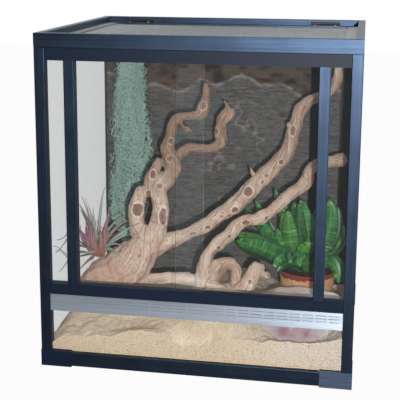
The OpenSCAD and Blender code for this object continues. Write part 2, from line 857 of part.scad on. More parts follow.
MOSS = [[-226, 196, 612, 22], [-223, 194, 550, 29], [-228, 192, 462, 36], [-225, 190, 344, 44],
  [-232, 190, 248, 45], [-236, 192, 187, 34], [-241, 194, 142, 9]];

// Loose tails: how far along X, and between which heights
MOSS_TAILS = [[-262, 250, 118], [-248, 200, 96], [-222, 190, 100], [-206, 220, 140], [-190, 260, 170],
  [-272, 300, 190]];
moss_y = 190;
moss_flat = 0.5;
tail_root = 60;
tail_lean = 8;
tail_back = 2;
TAIL_WIDTHS = [12, 10, 7, 2];

// A tail starts inside the hank, well above the height where it hangs free
module moss_tail(x, high, low) {
  xs = [x + tail_lean, x, x - 2, x];
  zs = [high + tail_root, high, (high + low) / 2, low];
  skin([for (i = [0 : 3]) [xs[i], moss_y + i * tail_back, zs[i], TAIL_WIDTHS[i]]], twig_sides);
}

module hanging_moss() {
  color("#8fb0a2") difference() {
    union() {
      skin(smooth(MOSS, limb_steps), trunk_sides, moss_flat, knobs);
      for (tail = MOSS_TAILS) moss_tail(tail[0], tail[1], tail[2]);
    }
    translate([-half_w, sand_rear + 0.2, 0]) cube([case_w, case_d, case_h]);
  }
}

// ---------- Leaves ----------

// Half width of a leaf along its length, from 0 at the stalk to 1 at the tip
function leaf_shape(t) = 0.08 + 0.92 * pow(sin(180 * pow(t, 0.8)), 0.8);
function bend_at(a, b, c, t) = a * (1 - t) * (1 - t) + 2 * b * t * (1 - t) + c * t * t;

// A blade from a to c, bowed towards b, half_width wide at its widest
module blade(a, b, c, half_width, thick, shape) {
  steps = 6;
  p = [for (i = [0 : steps]) let (t = i / steps) concat(bend_at(a, b, c, t), [half_width * shape(t)])];
  skin(p, 4, thick);
}

// Tips of the air plant's leaves, each with how far it arches up
AIR_BASE = [-222, -106, 176];
AIR_TIPS = [[-258, -130, 290, 20], [-210, -90, 330, 30], [-255, -112, 310, 24], [-203, -95, 283, 6],
  [-222, -140, 280, 8], [-182, -72, 264, 24], [-136, -100, 254, 46], [-146, -150, 242, 34],
  [-149, -160, 208, 34], [-158, -152, 186, 30], [-270, -180, 266, 34], [-277, -198, 236, 36],
  [-279, -204, 206, 36], [-275, -200, 176, 34], [-242, -190, 212, 26], [-243, -182, 164, 30],
  [-266, -150, 284, 26], [-228, -62, 288, 16]];
air_half_width = 9;
air_thick = 0.4;

module air_plant() {
  color("#a9a08e") difference() {
    union() {
      for (tip = AIR_TIPS) {
        to = [tip[0], tip[1], tip[2]];
        bow = (AIR_BASE + to) / 2 + [0, 0, tip[3]];
        blade(AIR_BASE, bow, to, air_half_width, air_thick, function (t) 1.05 - t);
        hull() {
          translate(AIR_BASE - [0, 0, 12]) sphere(8, $fn = 8);
          translate(bend_at(AIR_BASE, bow, to, 0.18)) sphere(4, $fn = 6);
        }
      }
    }
    limbs();
  }
}

// The leafy plant: middle of the bow, tip and half width of each leaf
LEAVES = [
  [[118, 0, 186], [53, -29, 207], 20], [[140, 4, 172], [134, 0, 229], 13],
  [[158, -12, 200], [157, -10, 274], 16], [[212, 6, 214], [180, 10, 292], 17],
  [[170, -18, 196], [211, -20, 207], 13], [[170, -20, 206], [186, -42, 162], 14],
  [[150, -10, 190], [132, -32, 154], 13], [[262, 28, 214], [239, 30, 291], 17],
  [[268, 46, 190], [268, 50, 232], 12], [[258, -6, 200], [266, -24, 126], 14],
  [[140, 44, 230], [123, 52, 302], 9], [[110, 44, 210], [80, 60, 274], 9],
  [[108, 22, 190], [104, 20, 240], 12], [[166, 36, 220], [171, 42, 266], 15],
  [[206, 40, 200], [214, 52, 262], 15], [[228, -4, 174], [240, -26, 200], 13]
];
leaf_thick = 0.14;
foot_turn = 71;

// The soil fills the bowl to a little below its rim
module soil() {
  foot = bowl_foot - bowl_wall - bed_gap;
  translate([bowl_at[0], bowl_at[1], bowl_low])
    rotate_extrude($fn = bowl_sides)
      polygon([[0, bowl_wall + bed_gap], [foot, bowl_wall + bed_gap],
        [foot + bowl_slope * (soil_h - bowl_wall), soil_h], [0, soil_h]]);
}

module leafy_plant() {
  crown = [bowl_at[0], bowl_at[1], bowl_low + soil_h - 2];
  color("#3f8a3a") difference() {
    union() {
      for (i = [0 : len(LEAVES) - 1]) {
        leaf = LEAVES[i];
        foot = crown + [14 * cos(foot_turn * i), 10 * sin(foot_turn * i), 0];
        stalk_end = bend_at(foot, leaf[0], leaf[1], 0.15);
        blade(foot, leaf[0], leaf[1], leaf[2], leaf_thick, function (t) leaf_shape(t));
        hull() {
          translate(foot) sphere(2.4, $fn = 6);
          translate(stalk_end) sphere(1.6, $fn = 6);
        }
      }
      soil();
    }
    limbs();
  }
}

// A turned bowl with a rolled rim, set in the sand
module plant_bowl() {
  rim_z = bowl_h - bowl_rim;
  inner_foot = bowl_foot - bowl_wall;
  color("#8a4a38") translate([bowl_at[0], bowl_at[1], bowl_low]) rotate_extrude($fn = bowl_sides) {
    polygon([[0, 0], [bowl_foot, 0], [bowl_foot + bowl_slope * rim_z, rim_z],
      [inner_foot + bowl_slope * (rim_z - bowl_wall), rim_z], [inner_foot, bowl_wall], [0, bowl_wall]]);
    translate([bowl_r - bowl_rim, rim_z]) circle(bowl_rim);
  }
}

// ---------- Flat stone ----------

// Lobes of the slab, as [x, y, z, radius]
STONE = [[116, -184, 58, 24], [256, -186, 60, 24], [112, -128, 96, 23], [262, -126, 95, 22],
  [116, -80, 99, 22], [254, -78, 100, 21], [180, -160, 92, 24], [186, -76, 101, 22]];

module flat_stone() {
  color("#b79a94") difference() {
    hull() for (s = STONE) translate([s[0], s[1], s[2]]) scale(s[3]) sphere(1, $fn = 12);
    ground();
  }
}

bottom_front_rail();
bottom_rear_rail();
bottom_left_rail();
bottom_right_rail();
corner_block_front_left();
corner_block_front_right();
corner_block_rear_left();
corner_block_rear_right();
post_front_left();
post_front_right();
post_rear_left();
post_rear_right();
top_front_rail();
top_rear_rail();
top_left_rail();
top_right_rail();
top_corner_keys();
floor_panel();
left_glass();
right_glass();
rear_panel();
lower_front_glass();
vent_strip();
lower_track();
upper_track();
left_stile();
right_stile();
left_side_light();
right_side_light();
left_door_glass();
right_door_glass();
lid_front_rail();
lid_rear_rail();
lid_left_rail();
lid_right_rail();
lid_gauze();
left_hinge_fixed_leaf();
right_hinge_fixed_leaf();
left_hinge_lid_leaf();
right_hinge_lid_leaf();
hinge_pins();
fixed_leaf_screws();
lid_leaf_screws();
sand_bed();
bark_panel();
bark_strip();
driftwood();
hanging_moss();
air_plant();
plant_bowl();
leafy_plant();
flat_stone();
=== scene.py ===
"""Looks of a framed glass terrarium with desert furnishings.

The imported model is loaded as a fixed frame. Its rigid pieces get materials. The gauze
and the grown and loose furnishings (sand, bark, driftwood, moss, plants, stone) are
modelled here, as meshes that stand for the plain solids of the frame.
"""

import logging
import math
from dataclasses import dataclass
from enum import Enum

import bmesh
import bpy
import numpy as np
from mathutils import Matrix, Vector


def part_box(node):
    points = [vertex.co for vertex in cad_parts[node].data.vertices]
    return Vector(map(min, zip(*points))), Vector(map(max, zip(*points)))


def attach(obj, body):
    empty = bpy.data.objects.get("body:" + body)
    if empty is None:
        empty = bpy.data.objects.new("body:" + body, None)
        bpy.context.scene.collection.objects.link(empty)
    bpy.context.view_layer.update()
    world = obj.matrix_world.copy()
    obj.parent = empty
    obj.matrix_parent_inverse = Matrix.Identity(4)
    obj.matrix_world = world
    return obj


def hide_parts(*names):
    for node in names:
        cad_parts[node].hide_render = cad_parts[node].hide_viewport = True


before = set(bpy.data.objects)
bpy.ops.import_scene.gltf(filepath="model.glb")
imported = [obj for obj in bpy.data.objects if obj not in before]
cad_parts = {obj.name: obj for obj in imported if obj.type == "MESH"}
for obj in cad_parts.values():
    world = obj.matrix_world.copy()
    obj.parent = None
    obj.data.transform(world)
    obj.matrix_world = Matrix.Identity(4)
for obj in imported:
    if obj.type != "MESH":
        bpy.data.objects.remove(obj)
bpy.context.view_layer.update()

MM = 0.001
TINY = 1e-9
LOG = logging.getLogger("terrarium")
Array = np.ndarray
Piece = bpy.types.Object
Tree = bpy.types.NodeTree
Socket = bpy.types.NodeSocket
Place = tuple[float, float, float]
Stations = tuple[tuple[float, ...], ...]
# Points in millimetres, and groups of faces with a like number of corners.
Form = tuple[Array, list[Array]]

# Odd numbers that scatter a lattice point over 32 bits, and the last 32 and 16 bits.
PLACE_PRIMES = np.array([73856093, 19349663, 83492791])
SEED_PRIME = 2654435761
MIX_PRIME = 1274126177
LAST_32 = 0xFFFFFFFF
LAST_16 = 0xFFFF
# Step of the seed from one octave to the next, and the usual peak of all octaves together.
OCTAVE_STEP = 17
OCTAVE_PEAK = 1.6

# The way to the back of the case.
BACK = np.array([0.0, 1.0, 0.0])


class Axis(Enum):
    """The three axes of the frame, as an index."""

    X = 0
    Y = 1
    Z = 2


# ---------------------------------------------------------------- numbers to surfaces


def lattice_noise(points: Array, seed: int) -> Array:
    """Gives smooth noise from -1 to 1.

    Each whole-number lattice point has a random value, and between them the eight
    nearest are blended by the cubic 3t^2 - 2t^3 along each axis.

    Args:
        points: places, as (n, 3).
        seed: picks one field of random values.

    Returns:
        One value for each place.
    """
    cell = np.floor(points).astype(np.int64)
    t = points - cell
    t = t * t * (3 - 2 * t)
    total = np.zeros(len(points))
    for corner in np.ndindex(2, 2, 2):
        mixed = ((cell + corner) * PLACE_PRIMES).sum(1)
        mixed = (mixed + seed * SEED_PRIME) & LAST_32
        mixed = ((mixed ^ (mixed >> 13)) * MIX_PRIME) & LAST_32
        value = ((mixed ^ (mixed >> 16)) & LAST_16) / (LAST_16 / 2) - 1
        total += value * np.prod(np.where(corner, t, 1 - t), axis=1)
    return total


@dataclass(frozen=True)
class Noise:
    """A field of noise.

    Attributes:
        height: the noise runs from about minus this to this.
        size: width of the largest features in millimetres, alike or along each axis.
        octaves: how many octaves add up, each half as large and half as strong as the last.
        seed: picks one field of random values.
        lift: is added to the noise.
        least: cuts off what is lower.
        most: cuts off what is higher.
    """

    height: float
    size: float | Place
    octaves: int
    seed: int
    lift: float = 0.0
    least: float = -math.inf
    most: float = math.inf

    def at(self, points: Array) -> Array:
        """Gives the noise at places in millimetres, as (n, 3)."""
        scaled = points / np.asarray(self.size, float)
        octaves = (
            lattice_noise(scaled * 2**k, self.seed + OCTAVE_STEP * k) / 2**k
            for k in range(self.octaves)
        )
        noise = self.height * (sum(octaves) / OCTAVE_PEAK) + self.lift
        return np.clip(noise, self.least, self.most)


def bump(x: Array, middle: float, spread: float, height: float = 1.0) -> Array:
    """Gives the bell height exp(-((x - middle) / spread)^2)."""
    return height * np.exp(-(((x - middle) / spread) ** 2))


def ramp(x: Array, start: float, end: float, most: float = 1.0) -> Array:
    """Rises in a line from 0 at the start to 1 at the end, held between 0 and the most."""
    return np.clip((x - start) / (end - start), 0, most)


@dataclass(frozen=True)
class Spot:
    """A soft round patch seen from the front: its middle, and its spread along X and Z."""

    x: float
    z: float
    wide: float
    tall: float

    def at(self, points: Array) -> Array:
        """Gives the patch's share at each place, from 0 to 1."""
        return bump(points[:, 0], self.x, self.wide) * bump(points[:, 2], self.z, self.tall)


def box_mm(node: str) -> tuple[Array, Array]:
    """Gives the lowest and the highest corner of a CAD node in millimetres."""
    low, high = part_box(node)
    return np.array(low) / MM, np.array(high) / MM


def plane(low: Array, high: Array, axes: tuple[Axis, Axis], cell: float) -> tuple[Array, Array]:
    """Lays a grid over one side of a box.

    Args:
        low: lowest corner of the box.
        high: its highest corner.
        axes: the axes along and across the rows.
        cell: about the distance from point to point.

    Returns:
        The two coordinates of each point, as (rows, cols).
    """
    spans = ((low[axis.value], high[axis.value]) for axis in axes)
    return np.meshgrid(*(np.linspace(a, b, max(8, int((b - a) / cell))) for a, b in spans))


def flowing(stations: Stations, per_span: int) -> Array:
    """Draws the Catmull-Rom curve through rows of stations.

    Args:
        stations: rows of numbers that the curve passes through.
        per_span: points from one station to the next.

    Returns:
        The curve's rows, ending on the last station.
    """
    p = np.asarray(stations, float)
    i = np.arange(len(p) - 1)
    near = (np.maximum(i - 1, 0), i, i + 1, np.minimum(i + 2, len(p) - 1))
    a, b, c, d = (p[k][:, None] for k in near)
    t = np.linspace(0, 1, per_span, endpoint=False)[None, :, None]
    square, cube = 2 * a - 5 * b + 4 * c - d, 3 * b - a - 3 * c + d
    curve = 0.5 * (2 * b + (c - a) * t + square * t**2 + cube * t**3)
    return np.concatenate([curve.reshape(-1, p.shape[1]), p[-1:]])


def unit(vectors: Array) -> Array:
    """Scales each vector to length 1."""
    return vectors / np.maximum(np.linalg.norm(vectors, axis=-1, keepdims=True), TINY)


def frames_along(paths: Array, reference: Array) -> tuple[Array, Array, Array]:
    """Finds the heading of each path and two directions square to it.

    The heading t is the path's gradient, u is reference x t and v is t x u.

    Args:
        paths: points as (paths, n, 3).
        reference: a direction that no path runs along.

    Returns:
        t, u and v, each with the shape of paths.
    """
    t = unit(np.gradient(paths, axis=1))
    u = unit(np.cross(np.broadcast_to(reference, t.shape), t))
    return t, u, np.cross(t, u)


def grid_faces(rows: int, cols: int, wrap: bool = False) -> Array:
    """Lists the quads of a grid of points, counted along its rows.

    Args:
        rows: points along the first parameter.
        cols: points along the second parameter.
        wrap: joins the last column to the first.

    Returns:
        Corners of each quad, as (n, 4).
    """
    here = np.arange((rows - 1) * cols).reshape(-1, cols)
    right = np.roll(here, -1, axis=1)
    quads = np.stack([here, right, right + cols, here + cols], -1)
    return quads[:, : cols if wrap else cols - 1].reshape(-1, 4)


def repeated(faces: Array, points_each: int, copies: int) -> Array:
    """Repeats faces for copies of one shape that follow each other in the point list."""
    shift = (np.arange(copies) * points_each)[:, None, None]
    return (faces[None] + shift).reshape(-1, faces.shape[1])


def sweep(paths: Array, radii: Array, sides: int, reference: Array = BACK) -> Form:
    """Carries a ring along each path.

    A ring's point at angle a is path + r cos(a) u + r sin(a) v.

    Args:
        paths: points as (paths, n, 3).
        radii: ring radius at each point, as (paths, n).
        sides: points of a ring.
        reference: see frames_along.

    Returns:
        All points, and the faces as walls and end caps.
    """
    _, u, v = frames_along(paths, reference)
    angle = np.linspace(0, 2 * np.pi, sides, endpoint=False)[:, None]
    ring = np.cos(angle) * u[:, :, None, :] + np.sin(angle) * v[:, :, None, :]
    points = (paths[:, :, None, :] + radii[:, :, None, None] * ring).reshape(-1, 3)
    count, n = radii.shape
    cap = np.arange(sides)[None]
    groups = (grid_faces(n, sides, True), cap[:, ::-1], cap + (n - 1) * sides)
    walls, foot, head = (repeated(group, n * sides, count) for group in groups)
    return points, [walls, np.concatenate([foot, head])]


def slab(top: Array, base: Array) -> Form:
    """Closes a height grid with walls and a base.

    Args:
        top: the surface as (rows, cols, 3), with its normal along columns x rows.
        base: the points that the border drops to, with the shape of top.

    Returns:
        All points, and the faces as roof, walls and base.
    """
    rows, cols, _ = top.shape
    index = np.arange(rows * cols).reshape(rows, cols)
    border = np.concatenate([index[0, :-1], index[:-1, -1], index[-1, :0:-1], index[:0:-1, 0]])
    low = rows * cols + np.arange(len(border))
    walls = np.stack([low, np.roll(low, -1), np.roll(border, -1), border], 1)
    points = np.concatenate([top.reshape(-1, 3), base.reshape(-1, 3)[border]])
    return points, [grid_faces(rows, cols), walls, low[None, ::-1]]


def linked(name: str, data: bpy.types.ID) -> Piece:
    """Puts a new object with its data into the scene."""
    made = bpy.data.objects.new(name, data)
    bpy.context.scene.collection.objects.link(made)
    return made


def make_object(name: str, points: Array, faces: list[Array], smooth: bool = True) -> Piece:
    """Puts whole arrays of points and faces into a new mesh object.

    Args:
        name: name of the object.
        points: corners in millimetres, as (n, 3).
        faces: groups of faces with a like number of corners, each as (n, corners).
        smooth: shades the faces smoothly.

    Returns:
        The object, linked to the scene.
    """
    mesh = bpy.data.meshes.new(name)
    corners = np.concatenate([g.ravel() for g in faces]).astype(np.int32)
    sizes = np.concatenate([np.full(len(g), g.shape[1]) for g in faces])
    starts = np.concatenate([[0], np.cumsum(sizes)[:-1]]).astype(np.int32)
    mesh.vertices.add(len(points))
    mesh.vertices.foreach_set("co", (np.asarray(points) * MM).astype(np.float32).ravel())
    mesh.loops.add(len(corners))
    mesh.loops.foreach_set("vertex_index", corners)
    mesh.polygons.add(len(sizes))
    mesh.polygons.foreach_set("loop_start", starts)
    mesh.polygons.foreach_set("use_smooth", np.full(len(sizes), smooth))
    mesh.update(calc_edges=True)
    mesh.validate()
    return linked(name, mesh)


def paint(piece: Piece, name: str, values: Array) -> None:
    """Stores a share, as (n,), or a place, as (n, 3), at each point for the material."""
    flat = np.asarray(values, np.float32)
    kind, key = ("FLOAT_VECTOR", "vector") if flat.ndim == 2 else ("FLOAT", "value")
    piece.data.attributes.new(name, kind, "POINT").data.foreach_set(key, flat.ravel())


def fused(
    points: Array, faces: list[Array], voxel: float, rounds: int
) -> tuple[Array, list[Array], Array]:
    """Melts shapes that run into each other into one smooth skin.

    Args:
        points: corners of the shapes in millimetres.
        faces: their faces.
        voxel: size of the new skin's faces in millimetres.
        rounds: how often the new skin is smoothed.

    Returns:
        The skin's points in millimetres, its faces and its outward directions.
    """
    rough = make_object("rough_form", points, faces)
    remesh = rough.modifiers.new("skin", "REMESH")
    remesh.mode = "VOXEL"
    remesh.voxel_size = voxel * MM
    remesh.use_smooth_shade = True
    relax = rough.modifiers.new("relax", "SMOOTH")
    relax.iterations = rounds
    made = rough.evaluated_get(bpy.context.evaluated_depsgraph_get())
    skin = bpy.data.meshes.new_from_object(made)
    place, out = (np.zeros((len(skin.vertices), 3), np.float32) for _ in range(2))
    corners = np.zeros((len(skin.loops) // 4, 4), np.int32)
    skin.vertices.foreach_get("co", place.ravel())
    skin.vertex_normals.foreach_get("vector", out.ravel())
    skin.loops.foreach_get("vertex_index", corners.ravel())
    bpy.data.objects.remove(rough)
    return place / MM, [corners], out


# ---------------------------------------------------------------- finishes


def colour(code: str) -> tuple[float, float, float, float]:
    """Turns an sRGB hex code into linear red, green, blue and a full alpha."""
    srgb = [part / 255 for part in bytes.fromhex(code.lstrip("#"))]
    return (*[c / 12.92 if c <= 0.04045 else ((c + 0.055) / 1.055) ** 2.4 for c in srgb], 1.0)


def blank(made: bpy.types.Material | bpy.types.World) -> Tree:
    """Empties a new material's or world's nodes and gives them."""
    made.use_nodes = True
    made.node_tree.nodes.clear()
    return made.node_tree


def add(
    tree: Tree, kind: str, inputs: dict | None = None, out: str = "", **settings: object
) -> Socket | None:
    """Adds a node with its settings and links.

    Args:
        tree: the material's nodes.
        kind: the node's type, without the word that all shader nodes start with.
        inputs: hex code, value or socket for each live input, by its name or number.
        out: name of the output that is wanted, or "" for the first live one.
        settings: the node's own properties.

    Returns:
        The output, or None where the node has none.
    """
    node = tree.nodes.new("ShaderNode" + kind)
    for name, value in settings.items():
        setattr(node, name, value)
    for name, value in (inputs or {}).items():
        live = [socket for socket in node.inputs if socket.enabled]
        socket = live[name] if isinstance(name, int) else next(s for s in live if s.name == name)
        if isinstance(value, Socket):
            tree.links.new(value, socket)
        else:
            socket.default_value = colour(value) if isinstance(value, str) else value
    return next((s for s in node.outputs if s.enabled and s.name in (out or s.name,)), None)


@dataclass(frozen=True)
class Layer:
    """A tone laid over the tones below it, in spots or where the piece is marked.

    Attributes:
        tone: sRGB hex code.
        size: width of the spots in millimetres.
        span: noise that stands for none and for all of the tone.
        strength: share of the tone where it is full.
        squeeze: scale of the place along each axis; less than 1 draws the spots out.
        field: attribute that holds the place in millimetres, or "" for the object's own.
        mark: attribute that holds the share in place of spots, or "".
        shift: moves the spots, so that two layers differ.
        detail: how many finer octaves break up the spots' edges.
    """

    tone: str = "#ffffff"
    size: float = 1.0
    span: tuple[float, float] = (0.35, 0.65)
    strength: float = 1.0
    squeeze: Place = (1.0, 1.0, 1.0)
    field: str = ""
    mark: str = ""
    shift: float = 0.0
    detail: float = 3.0

    def share(self, tree: Tree) -> Socket:
        """Works out how much of the tone shows, from 0 to its strength."""
        if self.mark:
            value = add(tree, "Attribute", out="Fac", attribute_name=self.mark)
            return add(tree, "MapRange", {"Value": value, "To Max": self.strength})
        if self.field:
            place, to_mm = add(tree, "Attribute", out="Vector", attribute_name=self.field), 1.0
        else:
            place, to_mm = add(tree, "TexCoord", out="Object"), MM
        scale = tuple(s / to_mm for s in self.squeeze)
        move = {"Vector": place, "Scale": scale, "Location": (self.shift,) * 3}
        spots = {"Vector": add(tree, "Mapping", move), "Scale": 1 / self.size}
        noise = add(tree, "TexNoise", {**spots, "Detail": self.detail}, out="Fac")
        limits = {"Value": noise, "From Min": self.span[0], "From Max": self.span[1]}
        return add(tree, "MapRange", {**limits, "To Max": self.strength})


@dataclass(frozen=True)
class Finish:
    """A surface finish: a body tone, layers over it and a relief.

    Attributes:
        name: name of the material.
        body: sRGB hex code of the ground.
        layers: tones over it, lowest first.
        height: layer whose share is the height of the relief, or None.
        depth: height of the relief in millimetres.
        roughness: the shader's roughness.
        metallic: the shader's metallic share.
        gloss: the shader's specular level, where 0.5 is the full one of its index.
    """

    name: str
    body: str
    layers: tuple[Layer, ...] = ()
    height: Layer | None = None
    depth: float = 0.3
    roughness: float = 0.5
    metallic: float = 0.0
    gloss: float = 0.5

    def base(self, tree: Tree) -> Socket | str:
        """Lays the layers over the body."""
        tone = self.body
        for layer in self.layers:
            mix = {"Factor": layer.share(tree), "A": tone, "B": layer.tone}
            tone = add(tree, "Mix", mix, data_type="RGBA")
        return tone

    def inputs(self, tree: Tree) -> dict:
        """Gathers what the shader takes."""
        made = {"Base Color": self.base(tree), "Roughness": self.roughness}
        made["Metallic"] = self.metallic
        if self.metallic < 1:
            made["Specular IOR Level"] = self.gloss
        if self.height:
            relief = {"Height": self.height.share(tree), "Distance": self.depth * MM}
            made["Normal"] = add(tree, "Bump", relief)
        return made

    def material(self) -> bpy.types.Material:
        """Makes the material once, and gives the same one after that."""
        found = bpy.data.materials.get(self.name)
        if found:
            return found
        made = bpy.data.materials.new(self.name)
        tree = blank(made)
        add(tree, "OutputMaterial", {"Surface": add(tree, "BsdfPrincipled", self.inputs(tree))})
        return made


@dataclass(frozen=True)
class FloatGlass(Finish):
    """Float glass with ground edges: clear in the face, milky green along the cut edges.

    Attributes:
        thin: the axis that the pane is thin along.
        edge: sRGB hex code of the cut edges.
        face_alpha: how much the face covers, seen square on.
        slant_alpha: how much it covers, seen at a slant.
        edge_alpha: how much the cut edges cover.
    """

    thin: Axis = Axis.Y
    edge: str = "#dfe8e2"
    face_alpha: float = 0.02
    slant_alpha: float = 0.2
    edge_alpha: float = 0.75

    def inputs(self, tree: Tree) -> dict:
        """Shows more of the glass on its cut edges, and where it is seen at a slant."""
        normal = add(tree, "TexCoord", out="Normal")
        thin = add(tree, "SeparateXYZ", {0: normal}, out=self.thin.name)
        face = add(tree, "Math", {0: thin}, operation="ABSOLUTE")
        facing = add(tree, "LayerWeight", {"Blend": 0.5}, out="Facing")
        slant = add(tree, "Math", {0: facing, 1: 2.0}, operation="POWER")
        span = {"Value": slant, "To Min": self.face_alpha, "To Max": self.slant_alpha}
        cover = {"Factor": face, "A": self.edge_alpha, "B": add(tree, "MapRange", span)}
        alpha = add(tree, "Mix", cover, data_type="FLOAT")
        tones = {"Factor": face, "A": self.edge, "B": self.body}
        tone = add(tree, "Mix", tones, data_type="RGBA")
        return {"Base Color": tone, "Roughness": self.roughness, "Alpha": alpha}


@dataclass(frozen=True)
class RolledAluminium(Finish):
    """Rolled aluminium, satin anodised: its fine rolling lines draw a highlight out upwards."""

    drawn_out: float = 0.8
    quarter_turn: float = 0.25

    def inputs(self, tree: Tree) -> dict:
        """Turns the highlight square to the rolling lines."""
        return {
            **super().inputs(tree),
            "Anisotropic": self.drawn_out,
            "Anisotropic Rotation": self.quarter_turn,
            "Tangent": add(tree, "Tangent", direction_type="RADIAL", axis="Z"),
        }


@dataclass(frozen=True)
class Terracotta(Finish):
    """Fired clay, dipped: a sandy tan wall under a ragged red-brown slip round the rim."""

    slip: str = "#8e3526"
    slip_from: float = 129.0
    ragged: float = 9.0
    drip: float = 11.0

    def base(self, tree: Tree) -> Socket:
        """Lays the slip where height plus noise passes the slip's edge."""
        own = add(tree, "TexCoord", out="Object")
        place = add(tree, "Mapping", {"Vector": own, "Scale": (1 / MM,) * 3})
        drips = {"Vector": place, "Scale": 1 / self.drip, "Detail": 2.0}
        noise = add(tree, "TexNoise", drips, out="Fac")
        level = add(tree, "SeparateXYZ", {0: place}, out="Z")
        edge = {0: noise, 1: self.ragged * 2, 2: level}
        start = self.slip_from + self.ragged
        limits = {"Value": add(tree, "Math", edge, operation="MULTIPLY_ADD")}
        share = add(tree, "MapRange", {**limits, "From Min": start, "From Max": start + 1})
        dipped = {"Factor": share, "A": super().base(tree), "B": self.slip}
        return add(tree, "Mix", dipped, data_type="RGBA")


# Float glass in the front: hardly seen, with pale edges.
FRONT_GLASS = FloatGlass("float_glass_front", "#aeb6ba", roughness=0.03)
# The same glass behind another pane: its edge lies in shade and looks black.
SHADED_GLASS = FloatGlass(
    "float_glass_shaded", "#aeb6ba", roughness=0.03, edge="#06090c", edge_alpha=0.9
)
# The same glass in the sides: greyer, because it is seen at a slant.
SIDE_GLASS = FloatGlass(
    "float_glass_side", "#98a2a8", roughness=0.03, thin=Axis.X, slant_alpha=0.45
)
# Injection-moulded ABS: the spark-eroded grain of its mould makes the black matt and soft.
ABS = Finish(
    "moulded_abs_black", "#0b1424",
    (Layer("#1a2940", 0.8),), Layer(size=0.8), 0.05, 0.45, gloss=0.22,
)
# The same ABS with a painted highlight, where the flash lights the front right corner block:
# greyer, with its mould's level lines painted bright.
ABS_PAINTED_HIGHLIGHT = Finish(
    "moulded_abs_painted_highlight", "#36445c",
    (Layer("#5d6f8c", 0.9, (0.45, 0.6), 0.8, (0.01, 1, 1)), Layer("#42526c", 20.0)),
    Layer(size=0.9, squeeze=(0.01, 1, 1)), 0.1, 0.5,
)
# Painted steel: one dark tone with an even soft gloss.
HINGE_STEEL = Finish("painted_steel_black", "#0b0d12", (Layer("#1b2029", 3.0),), roughness=0.4)
# Zinc-plated steel: bright, a little cloudy from its bath.
BRIGHT_STEEL = Finish(
    "zinc_plated_steel", "#8d949c", (Layer("#b4bac1", 3.0),), roughness=0.3, metallic=1.0
)
# Drawn aluminium wire: dull grey from its oxide.
GAUZE_WIRE = Finish(
    "drawn_aluminium_wire", "#b4b9ba", (Layer("#ced2d2", 9.0),), roughness=0.5, metallic=0.3
)
# Rolled aluminium: level lines about 1 mm apart in a pale blue-grey.
ROLLED = RolledAluminium(
    "rolled_aluminium_satin", "#acb9c7",
    (
        Layer("#c2ccd8", 1.0, squeeze=(0.01, 1, 1)),
        Layer("#919eae", 14.0, (0.5, 0.7), 0.5, (0.05, 1, 1)),
    ),
    Layer(size=1.0, squeeze=(0.01, 1, 1)), 0.03, 0.42, 0.65,
)
# Extruded aluminium of the lid, satin: grey, drawn lines hardly show.
LID_RAIL = Finish(
    "extruded_aluminium_satin", "#84868f", (Layer("#9a9a92", 40.0),), roughness=0.45, metallic=0.4
)
# Calendered PVC sheet: nearly black with a brown cast, and softly glossy.
SHEET = Finish(
    "calendered_pvc_black", "#0a0706",
    (Layer("#171110", 90.0, (0.3, 0.7)),), roughness=0.35, gloss=0.3,
)
# Dry quartz sand: loose grains, drawn 2 mm wide so that they show; its top is painted paler than
# the sand against the glass, as painted light on its slope.
DRY_SAND = Finish(
    "dry_quartz_sand", "#f2dfc2",
    (
        Layer("#dcc3a2", 24.0, (0.45, 0.7), 0.6),
        Layer("#ecd3c4", 60.0, (0.5, 0.65), 0.5, shift=40.0),
        # the sand against the glass keeps a darker tone than the top, whose paleness is painted
        # light
        Layer("#e0ccae", mark="against_glass"),
        Layer("#e4d5c6", mark="rosy"),
        Layer("#e4c39c", mark="deep", strength=0.7),
        Layer("#8a6c50", 2.0, (0.56, 0.7), 0.85),
        Layer("#fbf2e2", 2.0, (0.58, 0.72), 0.8, shift=90.0),
    ),
    Layer(size=1.8, span=(0.3, 0.7)), 0.9, 0.95, gloss=0.2,
)
# Pressed cork bark: a brown flaky skin over a grey layer that splits level and has pale tracks.
CORK_BARK = Finish(
    "pressed_cork_bark", "#656360",
    (
        Layer("#3f3d3c", 5.0, (0.42, 0.66), 0.75, (0.2, 0.4, 1)),
        Layer("#8f8d89", 2.4, (0.54, 0.72), 0.5, (0.3, 0.4, 1), shift=30.0),
        Layer("#2a2827", 2.0, (0.6, 0.72), 0.6, (0.35, 0.4, 1), shift=81.0),
        Layer("#4c6663", 75.0, (0.55, 0.72), 0.6, shift=11.0),
        Layer("#6c5a68", 60.0, (0.58, 0.74), 0.5, shift=70.0),
        Layer("#74543f", 30.0, (0.6, 0.75), 0.6, (0.6, 1, 1), shift=20.0),
        Layer("#9a5a48", 9.0, (0.67, 0.76), 0.7, (0.6, 1, 1), shift=55.0),
        Layer("#5a4f46", mark="skin"),
        Layer("#262019", mark="skin_dark"),
        Layer("#7c5c4c", mark="skin_red", strength=0.6),
        Layer("#a9a297", mark="track"),
        Layer("#a8a095", mark="lip"),
    ),
    Layer(size=3.6, squeeze=(0.12, 0.4, 1)), 1.2, 0.92, gloss=0.2,
)
